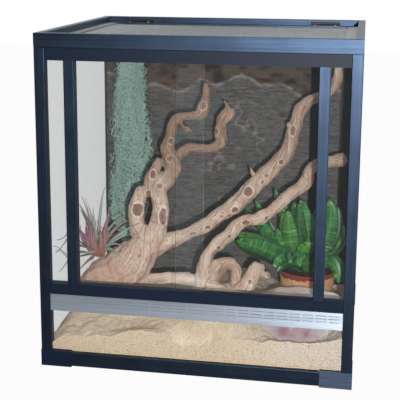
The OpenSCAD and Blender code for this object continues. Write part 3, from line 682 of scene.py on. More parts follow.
# Sandblasted vine wood: bare rosy beige, its grain laid open along each limb, with ringed knots.
VINE_WOOD = Finish(
    "sandblasted_vine_wood", "#d9bfab",
    (
        Layer("#e6d3c0", 30.0, (0.45, 0.68)),
        Layer("#c79c8c", 22.0, (0.52, 0.7), 0.8, shift=15.0),
        # painted shade: the far upper limbs and the arch behind the root, darker and browner
        Layer("#9a7d64", mark="high", strength=0.85),
        Layer("#a27c60", 5.0, (0.52, 0.74), 0.7, field="grain_mm"),
        Layer("#f2e4d4", 3.4, (0.55, 0.74), 0.7, field="grain_mm", shift=25.0),
        Layer("#6a4d3c", 2.0, (0.55, 0.74), 0.5, field="grain_mm", shift=60.0),
        Layer("#8b6a52", 11.0, (0.54, 0.7), 0.6, field="grain_mm", shift=200.0),
        Layer("#77543f", 6.0, (0.58, 0.74), 0.65, shift=33.0),
        Layer("#3d2a20", 2.4, (0.63, 0.7), 0.8, field="grain_mm", shift=140.0),
        Layer("#c6a290", mark="smooth"),
        Layer("#efe0d0", mark="bare"),
        Layer("#f3e6d6", mark="rim"),
        Layer("#a9826f", mark="knot"),
        Layer("#8c6258", mark="knot_red"),
        Layer("#3c2a23", mark="heart"),
    ),
    Layer(size=2.4, field="grain_mm"), 1.1, 0.82, gloss=0.25,
)
# Dried hanging moss, dyed seafoam: matt strands, each of its own tone, with painted shade on the
# strands towards the back of the hank.
DRIED_MOSS = Finish(
    "dried_moss_seafoam", "#a2c8ba",
    (Layer("#dbf3ea", mark="tone"), Layer("#20382f", mark="inner")), roughness=0.9, gloss=0.2,
)
# Live air plant: scaly matt leaves, red at the heart, mauve or olive, grey-green at the tips.
AIR_LEAF = Finish(
    "air_plant_leaf", "#93807c",
    (
        Layer("#6b6757", mark="olive"),
        Layer("#92697a", mark="mauve"),
        Layer("#95a296", mark="green"),
        Layer("#4a5158", mark="dusk"),
        Layer("#b0654f", mark="heart"),
        Layer("#b9bdb0", 1.6, (0.5, 0.7), 0.3),
    ),
    roughness=0.75, gloss=0.25,
)
# Waxy sword-shaped leaf: bright green in ragged dark cross bands, with paler rib and edges.
BANDED_LEAF = Finish(
    "banded_waxy_leaf", "#36823a",
    (
        Layer("#62a03c", mark="young"),
        Layer("#12502a", 4.6, (0.44, 0.62), 0.75, field="leaf_mm"),
        Layer("#8ed080", 6.0, (0.56, 0.7), 0.5, field="leaf_mm", shift=31.0),
        Layer("#062a14", mark="shade"),
        Layer("#a5dc86", mark="rib"),
        Layer("#1a5c28", mark="edge"),
    ),
    roughness=0.4,
)
# Damp peat: dark brown crumbs.
PEAT = Finish(
    "damp_peat", "#1d140e", (Layer("#54402f", 3.0),), Layer(size=3.0), 1.2, 0.95, gloss=0.2
)
# Fired clay: sandy, matt and cloudy.
CLAY = Terracotta(
    "fired_clay_slipped", "#dcb183", (Layer("#c9996a", 14.0),), Layer(size=0.9), 0.2, 0.85
)
# Split sandstone: mauve and pink beds, grey-blue where dust lies on its front.
SANDSTONE = Finish(
    "split_sandstone_mauve", "#e6cec6",
    (
        Layer("#b99aa0", 24.0, (0.42, 0.68), 0.8, (0.5, 1, 1)),
        Layer("#ebe0dc", 16.0, (0.55, 0.7), 0.7, (0.5, 1, 1), shift=44.0),
        # pale: the paler right end, and painted light on the upward faces
        Layer("#f0e8e5", mark="pale"),
        Layer("#b9c0c6", mark="dusty"),
        Layer("#a1707f", mark="plum"),
    ),
    Layer(size=1.3), 0.5, 0.88, gloss=0.2,
)


def profile_finish(run: Axis) -> Finish:
    """Gives extruded black anodised aluminium: satin blue-black with die lines along an axis."""
    drawn_out = 0.004
    squeeze = tuple(drawn_out if axis is run else 1.0 for axis in Axis)
    lines = Layer("#495a72", 0.8, squeeze=squeeze, strength=0.7)
    cloud = Layer("#2c3747", 60.0, (0.35, 0.7), 0.5)
    name = f"anodised_aluminium_black_{run.name.lower()}"
    return Finish(name, "#344153", (lines, cloud), lines, 0.03, 0.44, 1.0)


def dress(node: str, finish: Finish) -> None:
    """Gives a CAD node's object a finish in place of its plain one."""
    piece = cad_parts[node]
    piece.data.materials.clear()
    piece.data.materials.append(finish.material())
    LOG.info("dressed %s with %s", node, finish.name)


def settle(
    piece: Piece,
    finish: Finish,
    nodes: tuple[str, ...] = (),
    body: str = "root",
    marks: dict[str, Array] | None = None,
) -> None:
    """Finishes a new piece and hands it to the frame.

    Args:
        piece: the piece, in place.
        finish: its surface finish.
        nodes: CAD nodes that it stands for.
        body: the CAD body that it moves with.
        marks: what the finish reads at each point, by its name.
    """
    for name, values in (marks or {}).items():
        paint(piece, name, values)
    piece.data.materials.clear()
    piece.data.materials.append(finish.material())
    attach(piece, body)
    if nodes:
        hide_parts(*nodes)
    LOG.info("made %s with %d faces", piece.name, len(piece.data.polygons))


# ---------------------------------------------------------------- the case and its meshes


@dataclass
class Case:
    """Everything that keeps its CAD shape, by its finish; a profile's die lines follow its run."""

    finishes: tuple[tuple[Finish, str], ...] = (
        (profile_finish(Axis.X), "bottom_front_rail bottom_rear_rail top_front_rail"),
        (profile_finish(Axis.X), "top_rear_rail lid_rear_rail"),
        (profile_finish(Axis.Y), "bottom_left_rail bottom_right_rail top_left_rail top_right_rail"),
        (profile_finish(Axis.Z), "left_stile right_stile post_front_left post_front_right"),
        (profile_finish(Axis.Z), "post_rear_left post_rear_right"),
        (ABS, "corner_block_front_left corner_block_rear_left corner_block_rear_right"),
        (ABS, "top_corner_keys lower_track upper_track"),
        # painted highlight: the front right corner block takes the lighter ABS
        (ABS_PAINTED_HIGHLIGHT, "corner_block_front_right"),
        (SHEET, "floor_panel rear_panel"),
        (ROLLED, "vent_strip"),
        (FRONT_GLASS, "lower_front_glass left_side_light right_side_light left_door_glass"),
        (SHADED_GLASS, "right_door_glass"),
        (SIDE_GLASS, "left_glass right_glass"),
        (LID_RAIL, "lid_front_rail lid_left_rail lid_right_rail"),
        (HINGE_STEEL, "left_hinge_fixed_leaf right_hinge_fixed_leaf"),
        (HINGE_STEEL, "left_hinge_lid_leaf right_hinge_lid_leaf"),
        (BRIGHT_STEEL, "hinge_pins fixed_leaf_screws lid_leaf_screws"),
        (CLAY, "plant_bowl"),
    )

    def dress(self) -> None:
        """Gives each node its finish."""
        for finish, nodes in self.finishes:
            for node in nodes.split():
                dress(node, finish)


@dataclass
class Gauze:
    """A mesh of straight wires in two crossing layers, in the box of a CAD node.

    Attributes:
        name: name of the piece.
        node: the CAD node.
        thin: the axis that the mesh is thin along.
        pitch: distance from wire to wire in millimetres.
        apart: how far each layer's middle lies from the mesh's middle.
        wire: radius of a wire.
        sides: sides of a wire.
        level: place of the mesh along its thin axis, or None for the box's middle.
        low_margin: keeps the wires off the box's lowest corner.
        high_margin: keeps them off its highest corner.
    """

    name: str
    node: str
    thin: Axis
    pitch: float
    apart: float
    wire: float = 0.36
    sides: int = 4
    level: float | None = None
    low_margin: Place = (0.0, 0.0, 0.0)
    high_margin: Place = (0.0, 0.0, 0.0)

    def build(self, slot: str, nodes: tuple[str, ...] = (), body: str = "root") -> None:
        """Weaves the mesh and hands it over, see settle."""
        low, high = box_mm(self.node)
        low, high, thin = low + self.low_margin, high - self.high_margin, self.thin.value
        if self.level is not None:
            low[thin] = high[thin] = self.level
        layers = []
        runs = [axis.value for axis in Axis if axis is not self.thin]
        for run, lift in zip(runs, (-self.apart, self.apart)):
            side = sum(runs) - run
            at = np.arange(low[side] + self.pitch / 2, high[side], self.pitch)
            line = np.tile((low + high) / 2, (len(at), 2, 1))
            line[:, :, side] = at[:, None]
            line[:, 0, run] = low[run]
            line[:, 1, run] = high[run]
            line[:, :, thin] += lift
            layers.append(line)
        paths = np.concatenate(layers)
        radii = np.full(paths.shape[:2], self.wire)
        points, faces = sweep(paths, radii, self.sides, np.eye(3)[thin])
        gauze = make_object(self.name, points, faces, smooth=False)
        settle(gauze, GAUZE_WIRE, nodes, body)


# ---------------------------------------------------------------- the furnishings


@dataclass
class SandBed:
    """The sand, as a grid of heights that follows the CAD bed, with ripples and clods.

    A swell is its middle, spread and height: along X a crest, the dip at the bowl, a bank
    at the right wall and a dip at the left one, and along Y one dune, which fades at the
    left wall. The glass line is where the sand meets the lower pane, as places and
    heights. Turns are in degrees a millimetre.
    """

    height: float = 66.0
    lowest: float = 38.4
    cell: float = 2.3
    wall_rows: int = 26
    skirt: float = 14.0
    reach: float = 26.0
    swells: Stations = ((45, 95, 42), (165, 45, -18), (300, 38, 28), (-300, 24, -26))
    dune: Place = (-120, 75, 26)
    fade: Place = (-300, 30, 0.8)
    fall: float = 0.16
    fall_from: float = -60.0
    ripple: float = 2.5
    ripple_turn: float = 3.1
    sway: float = 40.0
    sway_turn: float = 2.0
    clods: tuple[Noise, ...] = (Noise(3.0, 30.0, 3, 5), Noise(2.0, 7.0, 3, 9))
    deep: tuple[float, float] = (46.0, 24.0)
    rosy: Place = (60.0, 210.0, 0.8)
    glass_line: Stations = (
        (-290, 36), (-273, 50), (-258, 60), (-224, 62), (-192, 67), (-164, 66), (-140, 75),
        (-124, 81), (-104, 84), (-84, 83), (-55, 73), (-39, 62), (-26, 53), (13, 58), (32, 62),
        (44, 75), (61, 78), (90, 80), (109, 78), (131, 74), (146, 79), (184, 80), (240, 82),
        (278, 95), (290, 98),
    )

    def surface(self, x: Array, y: Array) -> Array:
        """Gives the sand's height.

        Args:
            x: places to the right in millimetres.
            y: places to the back.

        Returns:
            Heights in millimetres.
        """
        along = sum(bump(x, *swell) for swell in self.swells)
        dune = bump(y, *self.dune) * (1 - bump(x, *self.fade))
        fall = self.fall * np.maximum(0, y - self.fall_from)
        sway = self.sway * np.sin(np.radians(self.sway_turn * y))
        ripple = self.ripple * np.sin(np.radians(self.ripple_turn * x + sway))
        flat = np.stack([x.ravel(), y.ravel(), np.zeros(x.size)], 1)
        rough = sum(noise.at(flat) for noise in self.clods).reshape(x.shape)
        level = np.maximum(self.height + along + dune - fall + ripple, self.lowest)
        line = np.interp(x, *np.array(self.glass_line, float).T)
        return level + (line - level) * bump(y, y.min(), self.reach) + rough

    def build(self) -> None:
        """Makes the bed with a fine grid on top and down the front glass."""
        low, high = box_mm("sand_bed")
        x, y = plane(low, high, (Axis.X, Axis.Y), self.cell)
        top = np.stack([x, y, self.surface(x, y)], -1)
        floor = low[2] + self.skirt
        share = np.linspace(0, 1, self.wall_rows)[:-1, None]
        front = np.repeat(top[:1], self.wall_rows - 1, 0)
        front[..., 2] = floor + share * (top[0, :, 2] - floor)
        rows = np.concatenate([front, top])
        base = rows.copy()
        base[..., 2] = floor
        points, faces = slab(rows, base)
        pressed = np.arange(len(points)) < self.wall_rows * x.shape[1]
        marks = {
            "against_glass": pressed,
            "deep": pressed * ramp(points[:, 2], *self.deep),
            "rosy": ramp(points[:, 0], *self.rosy),
        }
        bed = make_object("sand_surface", points, faces)
        settle(bed, DRY_SAND, ("sand_bed",), marks=marks)


@dataclass
class BarkTile:
    """One cork bark tile on the rear wall: a proud brown skin over level splits.

    A wave of the skin's lower edge is its height, degrees a millimetre and start.
    """

    node: str = "bark_panel"
    cell: float = 2.2
    depth: float = 8.6
    thinnest: float = 3.0
    gap: float = 0.2
    ledge_z: float = 505.0
    waves: Stations = ((16, 1.1, 60), (8, 3.7, 0))
    ragged: Noise = Noise(7.0, 34.0, 4, 21)
    splits: Noise = Noise(1.9, (60.0, 1.0, 9.0), 5, 31)
    flakes: Noise = Noise(1.3, (18.0, 1.0, 5.0), 4, 37)
    dark: Noise = Noise(1.5, (26.0, 1.0, 15.0), 4, 33, 0.25, 0.0, 0.9)
    red: Noise = Noise(2.2, (34.0, 1.0, 13.0), 4, 35, -0.55, 0.0, 0.75)
    lumps: Noise = Noise(1.0, (13.0, 1.0, 8.0), 3, 39)
    winding: Noise = Noise(1.0, 44.0, 4, 41)
    track_width: float = 0.07
    track_strength: float = 0.5
    track_area: Spot = Spot(25, 330, 75, 120)
    track_reach: float = 2.2
    skin_edge: float = 2.5
    skin_rise: float = 4.0
    lip_under: float = 4.0
    lip_wave: float = 3.0
    lip_spread: float = 4.5
    lip_most: float = 0.6
    lip_broken: tuple[float, float] = (0.6, 1.5)
    lip_rise: float = 1.2
    track_sink: float = 1.2

    def above_ledge(self, flat: Array) -> Array:
        """Gives each place's height over the wavy, ragged lower edge of the brown skin."""
        waves = (a * np.sin(np.radians(b * flat[:, 0] + c)) for a, b, c in self.waves)
        along = flat * np.array([1, 0, 0])
        return flat[:, 2] - (self.ledge_z + sum(waves) + self.ragged.at(along))

    def marks(self, flat: Array) -> dict[str, Array]:
        """Works out where each tone of the bark shows.

        Args:
            flat: places on the tile, as (n, 3), with Y left at 0.

        Returns:
            A share for each place, by the name of its mark.
        """
        above = self.above_ledge(flat)
        skin = ramp(above, 0, self.skin_edge)
        lumps = self.lumps.at(flat)
        track = self.track_strength * ramp(np.abs(self.winding.at(flat)), self.track_width, 0)
        level = self.lip_wave * lumps - self.lip_under
        band = bump(above, level, self.lip_spread, self.lip_most)
        broken = self.lip_broken[0] + self.lip_broken[1] * lumps
        return {
            "skin": skin,
            "skin_dark": skin * self.dark.at(flat),
            "skin_red": skin * self.red.at(flat),
            "track": track * np.clip(self.track_reach * self.track_area.at(flat), 0, 1),
            "lip": np.clip(band * broken, 0, self.lip_most),
        }

    def build(self) -> None:
        """Makes the tile's relief: a proud skin over level splits, with worm tracks."""
        low, high = box_mm(self.node)
        x, z = plane(low, high, (Axis.X, Axis.Z), self.cell)
        flat = np.stack([x.ravel(), np.zeros(x.size), z.ravel()], 1)
        marks = self.marks(flat)
        depth = self.depth + self.skin_rise * marks["skin"] + self.splits.at(flat)
        depth += self.flakes.at(flat) - self.track_sink * marks["track"]
        depth += self.lip_rise * marks["lip"]
        depth = np.clip(depth, self.thinnest, high[1] - low[1] - self.gap)
        front = np.stack([flat[:, 0], high[1] - depth, flat[:, 2]], 1).reshape(*x.shape, 3)
        back = front.copy()
        back[..., 1] = high[1]
        points, faces = slab(front, back)
        rest = np.zeros(len(points) - len(flat))
        marks = {name: np.concatenate([share, rest]) for name, share in marks.items()}
        tile = make_object(self.node + "_relief", points, faces)
        settle(tile, CORK_BARK, (self.node,), marks=marks)


@dataclass(frozen=True)
class Knot:
    """A ringed knot on the front of the driftwood.

    Attributes:
        x: its place to the right in millimetres.
        z: its height.
        across: half width.
        tall: half height.
        red: share of red-brown in its middle, against grey.
    """

    x: float
    z: float
    across: float
    tall: float
    red: float = 0.5


@dataclass
class Driftwood:
    """The branched driftwood, melted from limbs that follow the CAD ones.

    A limb is its stations of place and half width in millimetres. The grain runs round the
    limb as it runs along it, and is drawn out. A knot is a raised rim round a hollow core
    with a dark ring and a dark heart, at shares of the knot's own size; a ring is its
    middle, spread and strength.
    """

    voxel: float = 2.2
    smooth_rounds: int = 4
    highest: float = 567.5
    sides: int = 20
    ring_steps: int = 8
    middle_steps: int = 12
    limb_gap: float = 700.0
    part_size: int = 4000
    lumps: Noise = Noise(0.16, 22.0, 2, 51, 1.0)
    lump_shift: float = 50.0
    twist: float = 0.22
    draw: float = 0.06
    flutes: Noise = Noise(1.0, (9.0, 4.2, 1.0), 3, 71)
    flute_depth: float = 0.4
    flute_share: float = 0.055
    warts: Noise = Noise(3.4, 19.0, 3, 79, -0.3)
    trunk: tuple[float, float] = (20.0, 34.0)
    fold: float = 15.0
    fold_depth: float = 0.7
    fold_sway: Noise = Noise(0.6, 40.0, 2, 73)
    wobble: Noise = Noise(0.2, 8.0, 3, 61)
    year_rings: Noise = Noise(9.0, 6.0, 2, 63)
    knot_near: float = 2.5
    knot_facing: float = 0.3
    knot_reach: float = 1.4
    core: tuple[float, float] = (0.8, 0.65)
    core_tone: float = 0.8
    heart: tuple[float, float] = (0.52, 0.22)
    heart_tone: float = 0.7
    ring_tone: float = 0.65
    red_fade: float = 0.5
    rim_wobble: float = 0.6
    rim_ring: Place = (1.0, 0.15, 0.7)
    dark_ring: Place = (0.76, 0.07, 0.75)
    collar: Place = (1.0, 0.3, 0.2)
    hollow: float = 0.3
    swelling: Spot = Spot(-205, 150, 42, 42)
    swelling_edge: float = 0.05
    polish: Noise = Noise(0.3, 16.0, 3, 83)
    polish_reach: float = 1.3
    most_polish: float = 0.8
    # Painted shade: the upper limbs, most on the left, and the arch behind the root are darker.
    shade_above: tuple[float, float] = (290.0, 380.0)
    shade_end: float = 70.0
    shade_fade: float = 60.0
    least_shade: float = 0.55
    arch: Spot = Spot(34, 158, 26, 24)
    arch_from: float = 8.0
    root: Spot = Spot(-40, 140, 42, 14)
    root_front: float = -60.0
    root_edge: float = 0.1
    rubbing: Noise = Noise(0.25, 9.0, 3, 85)
    bare_reach: float = 1.1
    most_bare: float = 0.75
    limbs: tuple[Stations, ...] = (
        # the foot and the trunk
        (
            (-256, -112, 100, 20), (-222, -104, 132, 34), (-186, -94, 149, 40),
            (-152, -84, 174, 40), (-130, -76, 200, 34), (-112, -68, 232, 25)
        ),
        # upper left limb
        (
            (-118, -72, 210, 24), (-104, -60, 256, 19), (-106, -50, 290, 18),
            (-108, -42, 318, 19), (-84, -34, 347, 18), (-86, -28, 373, 17), (-97, -20, 396, 15),
            (-92, -10, 420, 13), (-88, 0, 442, 12), (-78, 8, 456, 10.5), (-55, 16, 459, 8.5),
            (-34, 24, 463, 12), (-28, 30, 484, 14), (-25, 34, 504, 8), (-26, 38, 528, 5)
        ),
        # side strand that closes its loop
        ((-128, -46, 300, 12), (-126, -44, 332, 14), (-117, -38, 357, 12), (-109, -34, 377, 7)),
        # left strand of the fork
        (
            (-139, -76, 214, 20), (-153, -66, 250, 17), (-153, -58, 280, 17),
            (-147, -52, 306, 14), (-140, -50, 318, 8)
        ),
        # the upper limb's right branch
        (
            (-92, -34, 352, 11), (-74, -20, 380, 11), (-55, -6, 395, 10), (-30, 8, 393, 10),
            (-7, 20, 393, 11), (10, 28, 402, 13), (7, 32, 425, 13), (9, 36, 445, 12),
            (22, 42, 463, 14), (24, 45, 476, 10)
        ),
        # long arm to the upper right
        (
            (-126, -76, 190, 24), (-96, -68, 204, 20), (-71, -62, 214, 16),
            (-41, -54, 226, 14.5), (-8, -44, 243, 15), (21, -32, 265, 15.5),
            (48, -20, 282, 17.5), (73, -4, 308, 19), (99, 10, 334, 18), (123, 22, 357, 16.5),
            (144, 38, 382, 16.5), (156, 50, 411, 15), (161, 60, 438, 15), (169, 70, 464, 14.5),
            (181, 79, 482, 14), (194, 88, 491, 12), (215, 100, 498, 10), (236, 112, 510, 10),
            (246, 122, 535, 11), (247, 130, 564, 8)
        ),
        # lower arm to the right
        (
            (-9, -98, 118, 18), (-8, -93, 150, 16), (-3, -87, 180, 14), (7, -81, 200, 14.5),
            (24, -75, 217, 14.5), (45, -69, 234, 14), (60, -62, 251, 13), (80, -55, 261, 13),
            (99, -45, 261, 13.5), (118, -31, 272, 13.5), (137, -16, 285, 14),
            (156, 0, 301, 13.5), (172, 13, 311, 14.5), (188, 25, 326, 15), (196, 36, 346, 13),
            (213, 50, 361, 12), (232, 62, 364, 13), (252, 76, 364, 16), (268, 88, 368, 14)
        ),
        # root along the sand
        (
            (-176, -84, 116, 18), (-128, -86, 130, 14), (-77, -90, 138, 13),
            (-34, -94, 139, 13), (0, -96, 133, 14), (38, -100, 121, 13), (70, -104, 114, 10)
        ),
        # stub at its end
        (
            (56, -104, 112, 16), (80, -98, 130, 17), (94, -92, 152, 17), (104, -88, 172, 15),
            (108, -86, 180, 10)
        ),
        # the stub's spur
        ((120, -90, 150, 6), (124, -92, 156, 9), (128, -94, 160, 8)),
        # arch behind the root
        (
            (2, -90, 126, 14), (20, -80, 160, 18), (41, -72, 172, 14), (58, -74, 160, 11),
            (58, -84, 128, 12)
        ),
        # spurs of the upper left limb
        ((-76, 6, 452, 5), (-66, 0, 438, 4), (-54, -6, 428, 2.4)),
        ((-66, 0, 438, 4), (-56, -4, 436, 3), (-47, -8, 430, 2.2)),
        # spur of its right branch
        ((23, 44, 474, 6), (16, 43, 484, 4), (10, 43, 491, 2.6)),
        # spurs of the long arm
        ((86, 2, 338, 6), (77, 0, 354, 4), (72, -2, 363, 2.4)),
        ((152, 44, 392, 8), (147, 36, 408, 5), (147, 33, 417, 3)),
        ((164, 56, 430, 10), (152, 52, 440, 8), (148, 50, 448, 5)),
    )
    knots: tuple[Knot, ...] = (
        Knot(-92, 264, 9, 19, 0.3), Knot(-146, 276, 11, 15, 0.7), Knot(-117, 346, 7, 10, 0.9),
        Knot(-103, 326, 8, 5.5, 0.0), Knot(-127, 306, 7, 8, 0.6), Knot(-86, 382, 6, 7, 0.0),
        Knot(-86, 414, 5.5, 7, 0.0), Knot(76, 312, 10, 11, 0.8), Knot(113, 345, 5, 4.5, 0.2),
        Knot(141, 371, 6, 7, 0.9), Knot(104, 328, 4, 5.5, 0.4), Knot(24, 264, 4, 4, 0.0),
        Knot(53, 276, 8, 7, 0.8), Knot(-32, 228, 8, 4.0, 0.0), Knot(-2, 240, 8, 4, 0.9),
        Knot(80, 258, 10, 5.5, 1.0), Knot(118, 266, 4, 3.5, 0.6), Knot(26, 208, 6, 4.5, 0.0),
        Knot(48, 234, 4, 4, 0.4), Knot(161, 434, 6, 12, 0.7), Knot(-26, 484, 7, 9, 0.3),
        Knot(-2, 428, 5, 8, 0.3), Knot(92, 150, 5, 6, 0.4),
    )

    def centrelines(self) -> tuple[Array, Array, Array, Array]:
        """Samples every limb's middle; each limb's distances start on a number of its own.

        Returns:
            Places, headings, half widths and distances along the limb, all in millimetres.
        """
        lines = [flowing(limb, self.middle_steps) for limb in self.limbs]
        headings = [unit(np.gradient(line[:, :3], axis=0)) for line in lines]
        steps = [np.linalg.norm(np.diff(line[:, :3], axis=0), axis=1) for line in lines]
        lengths = [np.cumsum([self.limb_gap * i, *step]) for i, step in enumerate(steps)]
        whole = np.concatenate(lines)
        return whole[:, :3], np.concatenate(headings), whole[:, 3], np.concatenate(lengths)

    def rough_form(self) -> Form:
        """Carries a lumpy ring along every limb.

        Returns:
            Points and faces of all limbs.
        """
        points, faces, start = [], [[], []], 0
        for i, limb in enumerate(self.limbs):
            line = flowing(limb, self.ring_steps)
            radii = line[:, 3] * self.lumps.at(line[:, :3] + self.lump_shift * i)
            part, groups = sweep(line[None, :, :3], radii[None], self.sides)
            points.append(part)
            for group, stack in zip(groups, faces):
                stack.append(group + start)
            start += len(part)
        return np.concatenate(points), [np.concatenate(stack) for stack in faces]

    def limb_places(self, points: Array) -> tuple[Array, Array, Array]:
        """Finds where each point lies on its nearest limb, in parts that fit the memory.

        Args:
            points: places on the skin in millimetres.

        Returns:
            Distance round the limb, distance along it and the limb's half width.
        """
        middles, headings, widths, lengths = self.centrelines()
        nearest = np.concatenate([
            np.argmin(np.linalg.norm(part[:, None] - middles, axis=2) / widths, axis=1)
            for part in np.array_split(points, max(1, len(points) // self.part_size))
        ])
        t = headings[nearest]
        u = unit(np.cross(BACK, t))
        v = np.cross(t, u)
        offset = points - middles[nearest]
        angle = np.arctan2((offset * v).sum(1), (offset * u).sum(1))
        along = lengths[nearest] + (offset * t).sum(1)
        return angle * widths[nearest], along, widths[nearest]

    def knot_marks(self, points: Array, out: Array) -> tuple[dict[str, Array], Array]:
        """Sets each knot on the frontmost skin at its X and Z.

        Args:
            points: places on the skin.
            out: outward directions there.

        Returns:
            Shares of rim, core, red core and heart at each point, and its way outwards.
        """
        never, behind = 9.0, 1000.0
        marks = {name: np.zeros(len(points)) for name in ("rim", "knot", "knot_red", "heart")}
        move = np.zeros(len(points))
        wobble = self.wobble.at(points)
        rings = 0.5 + 0.5 * np.sin(self.year_rings.at(points))
        rings = self.heart_tone * (1 - self.ring_tone + self.ring_tone * rings)
        for knot in self.knots:
            off = np.hypot(points[:, 0] - knot.x, points[:, 2] - knot.z)
            nearest = off < off.min() + self.knot_near
            centre = points[np.argmin(np.where(nearest, points[:, 1], behind))]
            scale = (knot.across, self.knot_reach * max(knot.across, knot.tall), knot.tall)
            reach = np.linalg.norm((points - centre) / scale, axis=1) + wobble
            reach = np.where(out[:, 1] < self.knot_facing, reach, never)
            core = ramp(reach, *self.core)
            heart = rings * ramp(reach, *self.heart) * (1 - self.red_fade * knot.red)
            shares = {
                "rim": bump(reach, *self.rim_ring),
                "knot": self.core_tone * core,
                "knot_red": self.core_tone * core * knot.red,
                "heart": np.maximum(heart, bump(reach, *self.dark_ring)),
            }
            for name, share in shares.items():
                marks[name] = np.maximum(marks[name], share)
            size = min(knot.across, knot.tall)
            move += size * (bump(reach, *self.collar) - self.hollow * core)
        marks["rim"] *= np.clip(1 - marks["knot"] + self.rim_wobble * wobble, 0, 1)
        return marks, move

    def wear_marks(self, points: Array) -> dict[str, Array]:
        """Marks the smooth swelling, the painted shade on the upper limbs and on the arch behind
        the root, and the bare root.
        """
        x, y, z = points.T
        swelling, root = self.swelling.at(points), self.root.at(points) * (y < self.root_front)
        polish = self.polish_reach * swelling + self.polish.at(points)
        rubbing = self.rubbing.at(points) * (root > self.root_edge)
        leftward = np.clip((self.shade_end - x) / self.shade_fade, self.least_shade, 1)
        # painted shade on the upper limbs and on the arch behind the root
        high = ramp(z, *self.shade_above) * leftward
        return {
            "smooth": np.clip(polish, 0, self.most_polish) * (swelling > self.swelling_edge),
            "high": np.maximum(high, self.arch.at(points) * (x > self.arch_from)),
            "bare": np.clip(self.bare_reach * root + rubbing, 0, self.most_bare),
        }

    def build(self) -> None:
        """Melts the limbs together and carves flutes, folds, warts and knots into the skin."""
        points, faces, out = fused(*self.rough_form(), self.voxel, self.smooth_rounds)
        around, along, width = self.limb_places(points)
        places = [around + self.twist * along, self.draw * along, np.zeros(len(points))]
        grain = np.stack(places, 1)
        turns = along / self.fold + self.fold_sway.at(points)
        folds = self.fold_depth * np.sin(2 * np.pi * turns) * ramp(width, *self.trunk)
        flutes = (self.flute_share * width + self.flute_depth) * self.flutes.at(grain)
        marks, move = self.knot_marks(points, out)
        points = points + out * (move + flutes + folds + self.warts.at(points))[:, None]
        points[:, 2] = np.minimum(points[:, 2], self.highest)
        wood = make_object("driftwood_skin", points, faces)
        marks = {"grain_mm": grain, **marks, **self.wear_marks(points)}
        settle(wood, VINE_WOOD, ("driftwood",), marks=marks)


@dataclass
class HangingMoss:
    """A hank of curled strands that hangs down the bark."""

    seed: int = 11
    strands: int = 1000
    points_each: int = 20
    sides: int = 3
    radius: float = 1.35
    length: tuple[float, float] = (45.0, 110.0)
    curl: tuple[float, float] = (3.0, 8.5)
    pitch: tuple[float, float] = (15.0, 30.0)
    low: Place = (-289.0, 164.0, 96.5)
    high: Place = (-150.0, 213.6, 612.5)
    start_low: float = 130.0
    start_span: float = 480.0
    fuller_below: float = 0.85
    fullness: float = 0.9
    flatness: float = 0.45
    stray: float = 0.35
    curl_root: float = 0.2
    curl_growth: float = 2.5
    curl_width: float = 20.0
    helix: Place = (1.0, 0.7, 0.5)
    thickness: tuple[float, float] = (0.7, 1.2)
    tip_thinner: float = 0.4
    facing: Place = (0.3, 1.0, 0.1)
    tone: tuple[float, float] = (0.45, 0.3)
    inner_shade_reach: float = 1.3
    inner_shade_lift: float = 0.15
    most_inner_shade: float = 0.95
    hank: Stations = (
        (-228, 194, 612, 24), (-226, 193, 550, 33), (-228, 191, 462, 42), (-222, 189, 344, 50),
        (-230, 189, 248, 48), (-236, 191, 187, 36), (-241, 194, 142, 13), (-243, 196, 96, 5),
    )

    def build(self) -> None:
        """Scatters short strands in the hank, each a drooping line with its own curl.

        A strand's place at share s is its start, minus its length times s in Z, held at its
        own share of the hank's width there, plus a helix of its own radius and pitch.
        """
        random = np.random.default_rng(self.seed)
        n, m = self.strands, self.points_each
        line = flowing(self.hank, 10)[::-1].T
        start = self.start_low + self.start_span * random.random(n) ** self.fuller_below
        length = random.uniform(*self.length, (n, 1))
        s = np.linspace(0, 1, m)[None]
        z = start[:, None] - length * s
        middle_x, middle_y, width = (np.interp(z, line[2], line[i]) for i in (0, 1, 3))
        angle = random.uniform(0, 2 * np.pi, (n, 1))
        share = np.sqrt(random.random((n, 1)))
        drift = self.stray * (s - 0.5) * random.normal(0, 1, (n, 1))
        curl = random.uniform(*self.curl, (n, 1)) * np.minimum(1, width / self.curl_width)
        curl = curl * np.minimum(1, self.curl_growth * s + self.curl_root)
        turn = s * length / random.uniform(*self.pitch, (n, 1)) + random.random((n, 1))
        turn = 2 * np.pi * turn
        x = middle_x + width * (self.fullness * share * np.cos(angle) + drift)
        y = middle_y + width * self.flatness * share * np.sin(angle)
        helix = zip(self.helix, (np.cos(turn), np.sin(turn), np.sin(turn + 1)))
        helix = np.stack([curl * size * wave for size, wave in helix], -1)
        paths = np.stack([x, y, z], -1) + helix
        radii = self.radius * random.uniform(*self.thickness, (n, 1))
        radii = radii * (1 - self.tip_thinner * s**3)
        paths = np.clip(paths, self.low, self.high)
        points, faces = sweep(paths, radii, self.sides, np.array(self.facing))
        tone = np.clip(random.normal(*self.tone, n), 0, 1)
        # painted shade: strands towards the back of the hank, where the hank shades itself, are
        # darker
        inner = self.inner_shade_reach * (share * np.sin(angle))[:, 0] + self.inner_shade_lift
        inner = np.clip(inner, 0, self.most_inner_shade)
        each = m * self.sides
        marks = {"tone": np.repeat(tone, each), "inner": np.repeat(inner, each)}
        moss = make_object("moss_strands", points, faces)
        settle(moss, DRIED_MOSS, ("hanging_moss",), marks=marks)


def bow(foot: Array, middle: Array, tip: Array, share: Array) -> Array:
    """Gives the places on bows: foot (1-s)^2 + 2 middle s(1-s) + tip s^2.

    Args:
        foot: start of each bow, as (n, 3).
        middle: the point that each bow leans towards.
        tip: end of each bow.
        share: shares s along the bows, as (m,).

    Returns:
        Places as (n, m, 3).
    """
    s = share[None, :, None]
    return foot[:, None] * (1 - s) ** 2 + 2 * middle[:, None] * s * (1 - s) + tip[:, None] * s**2


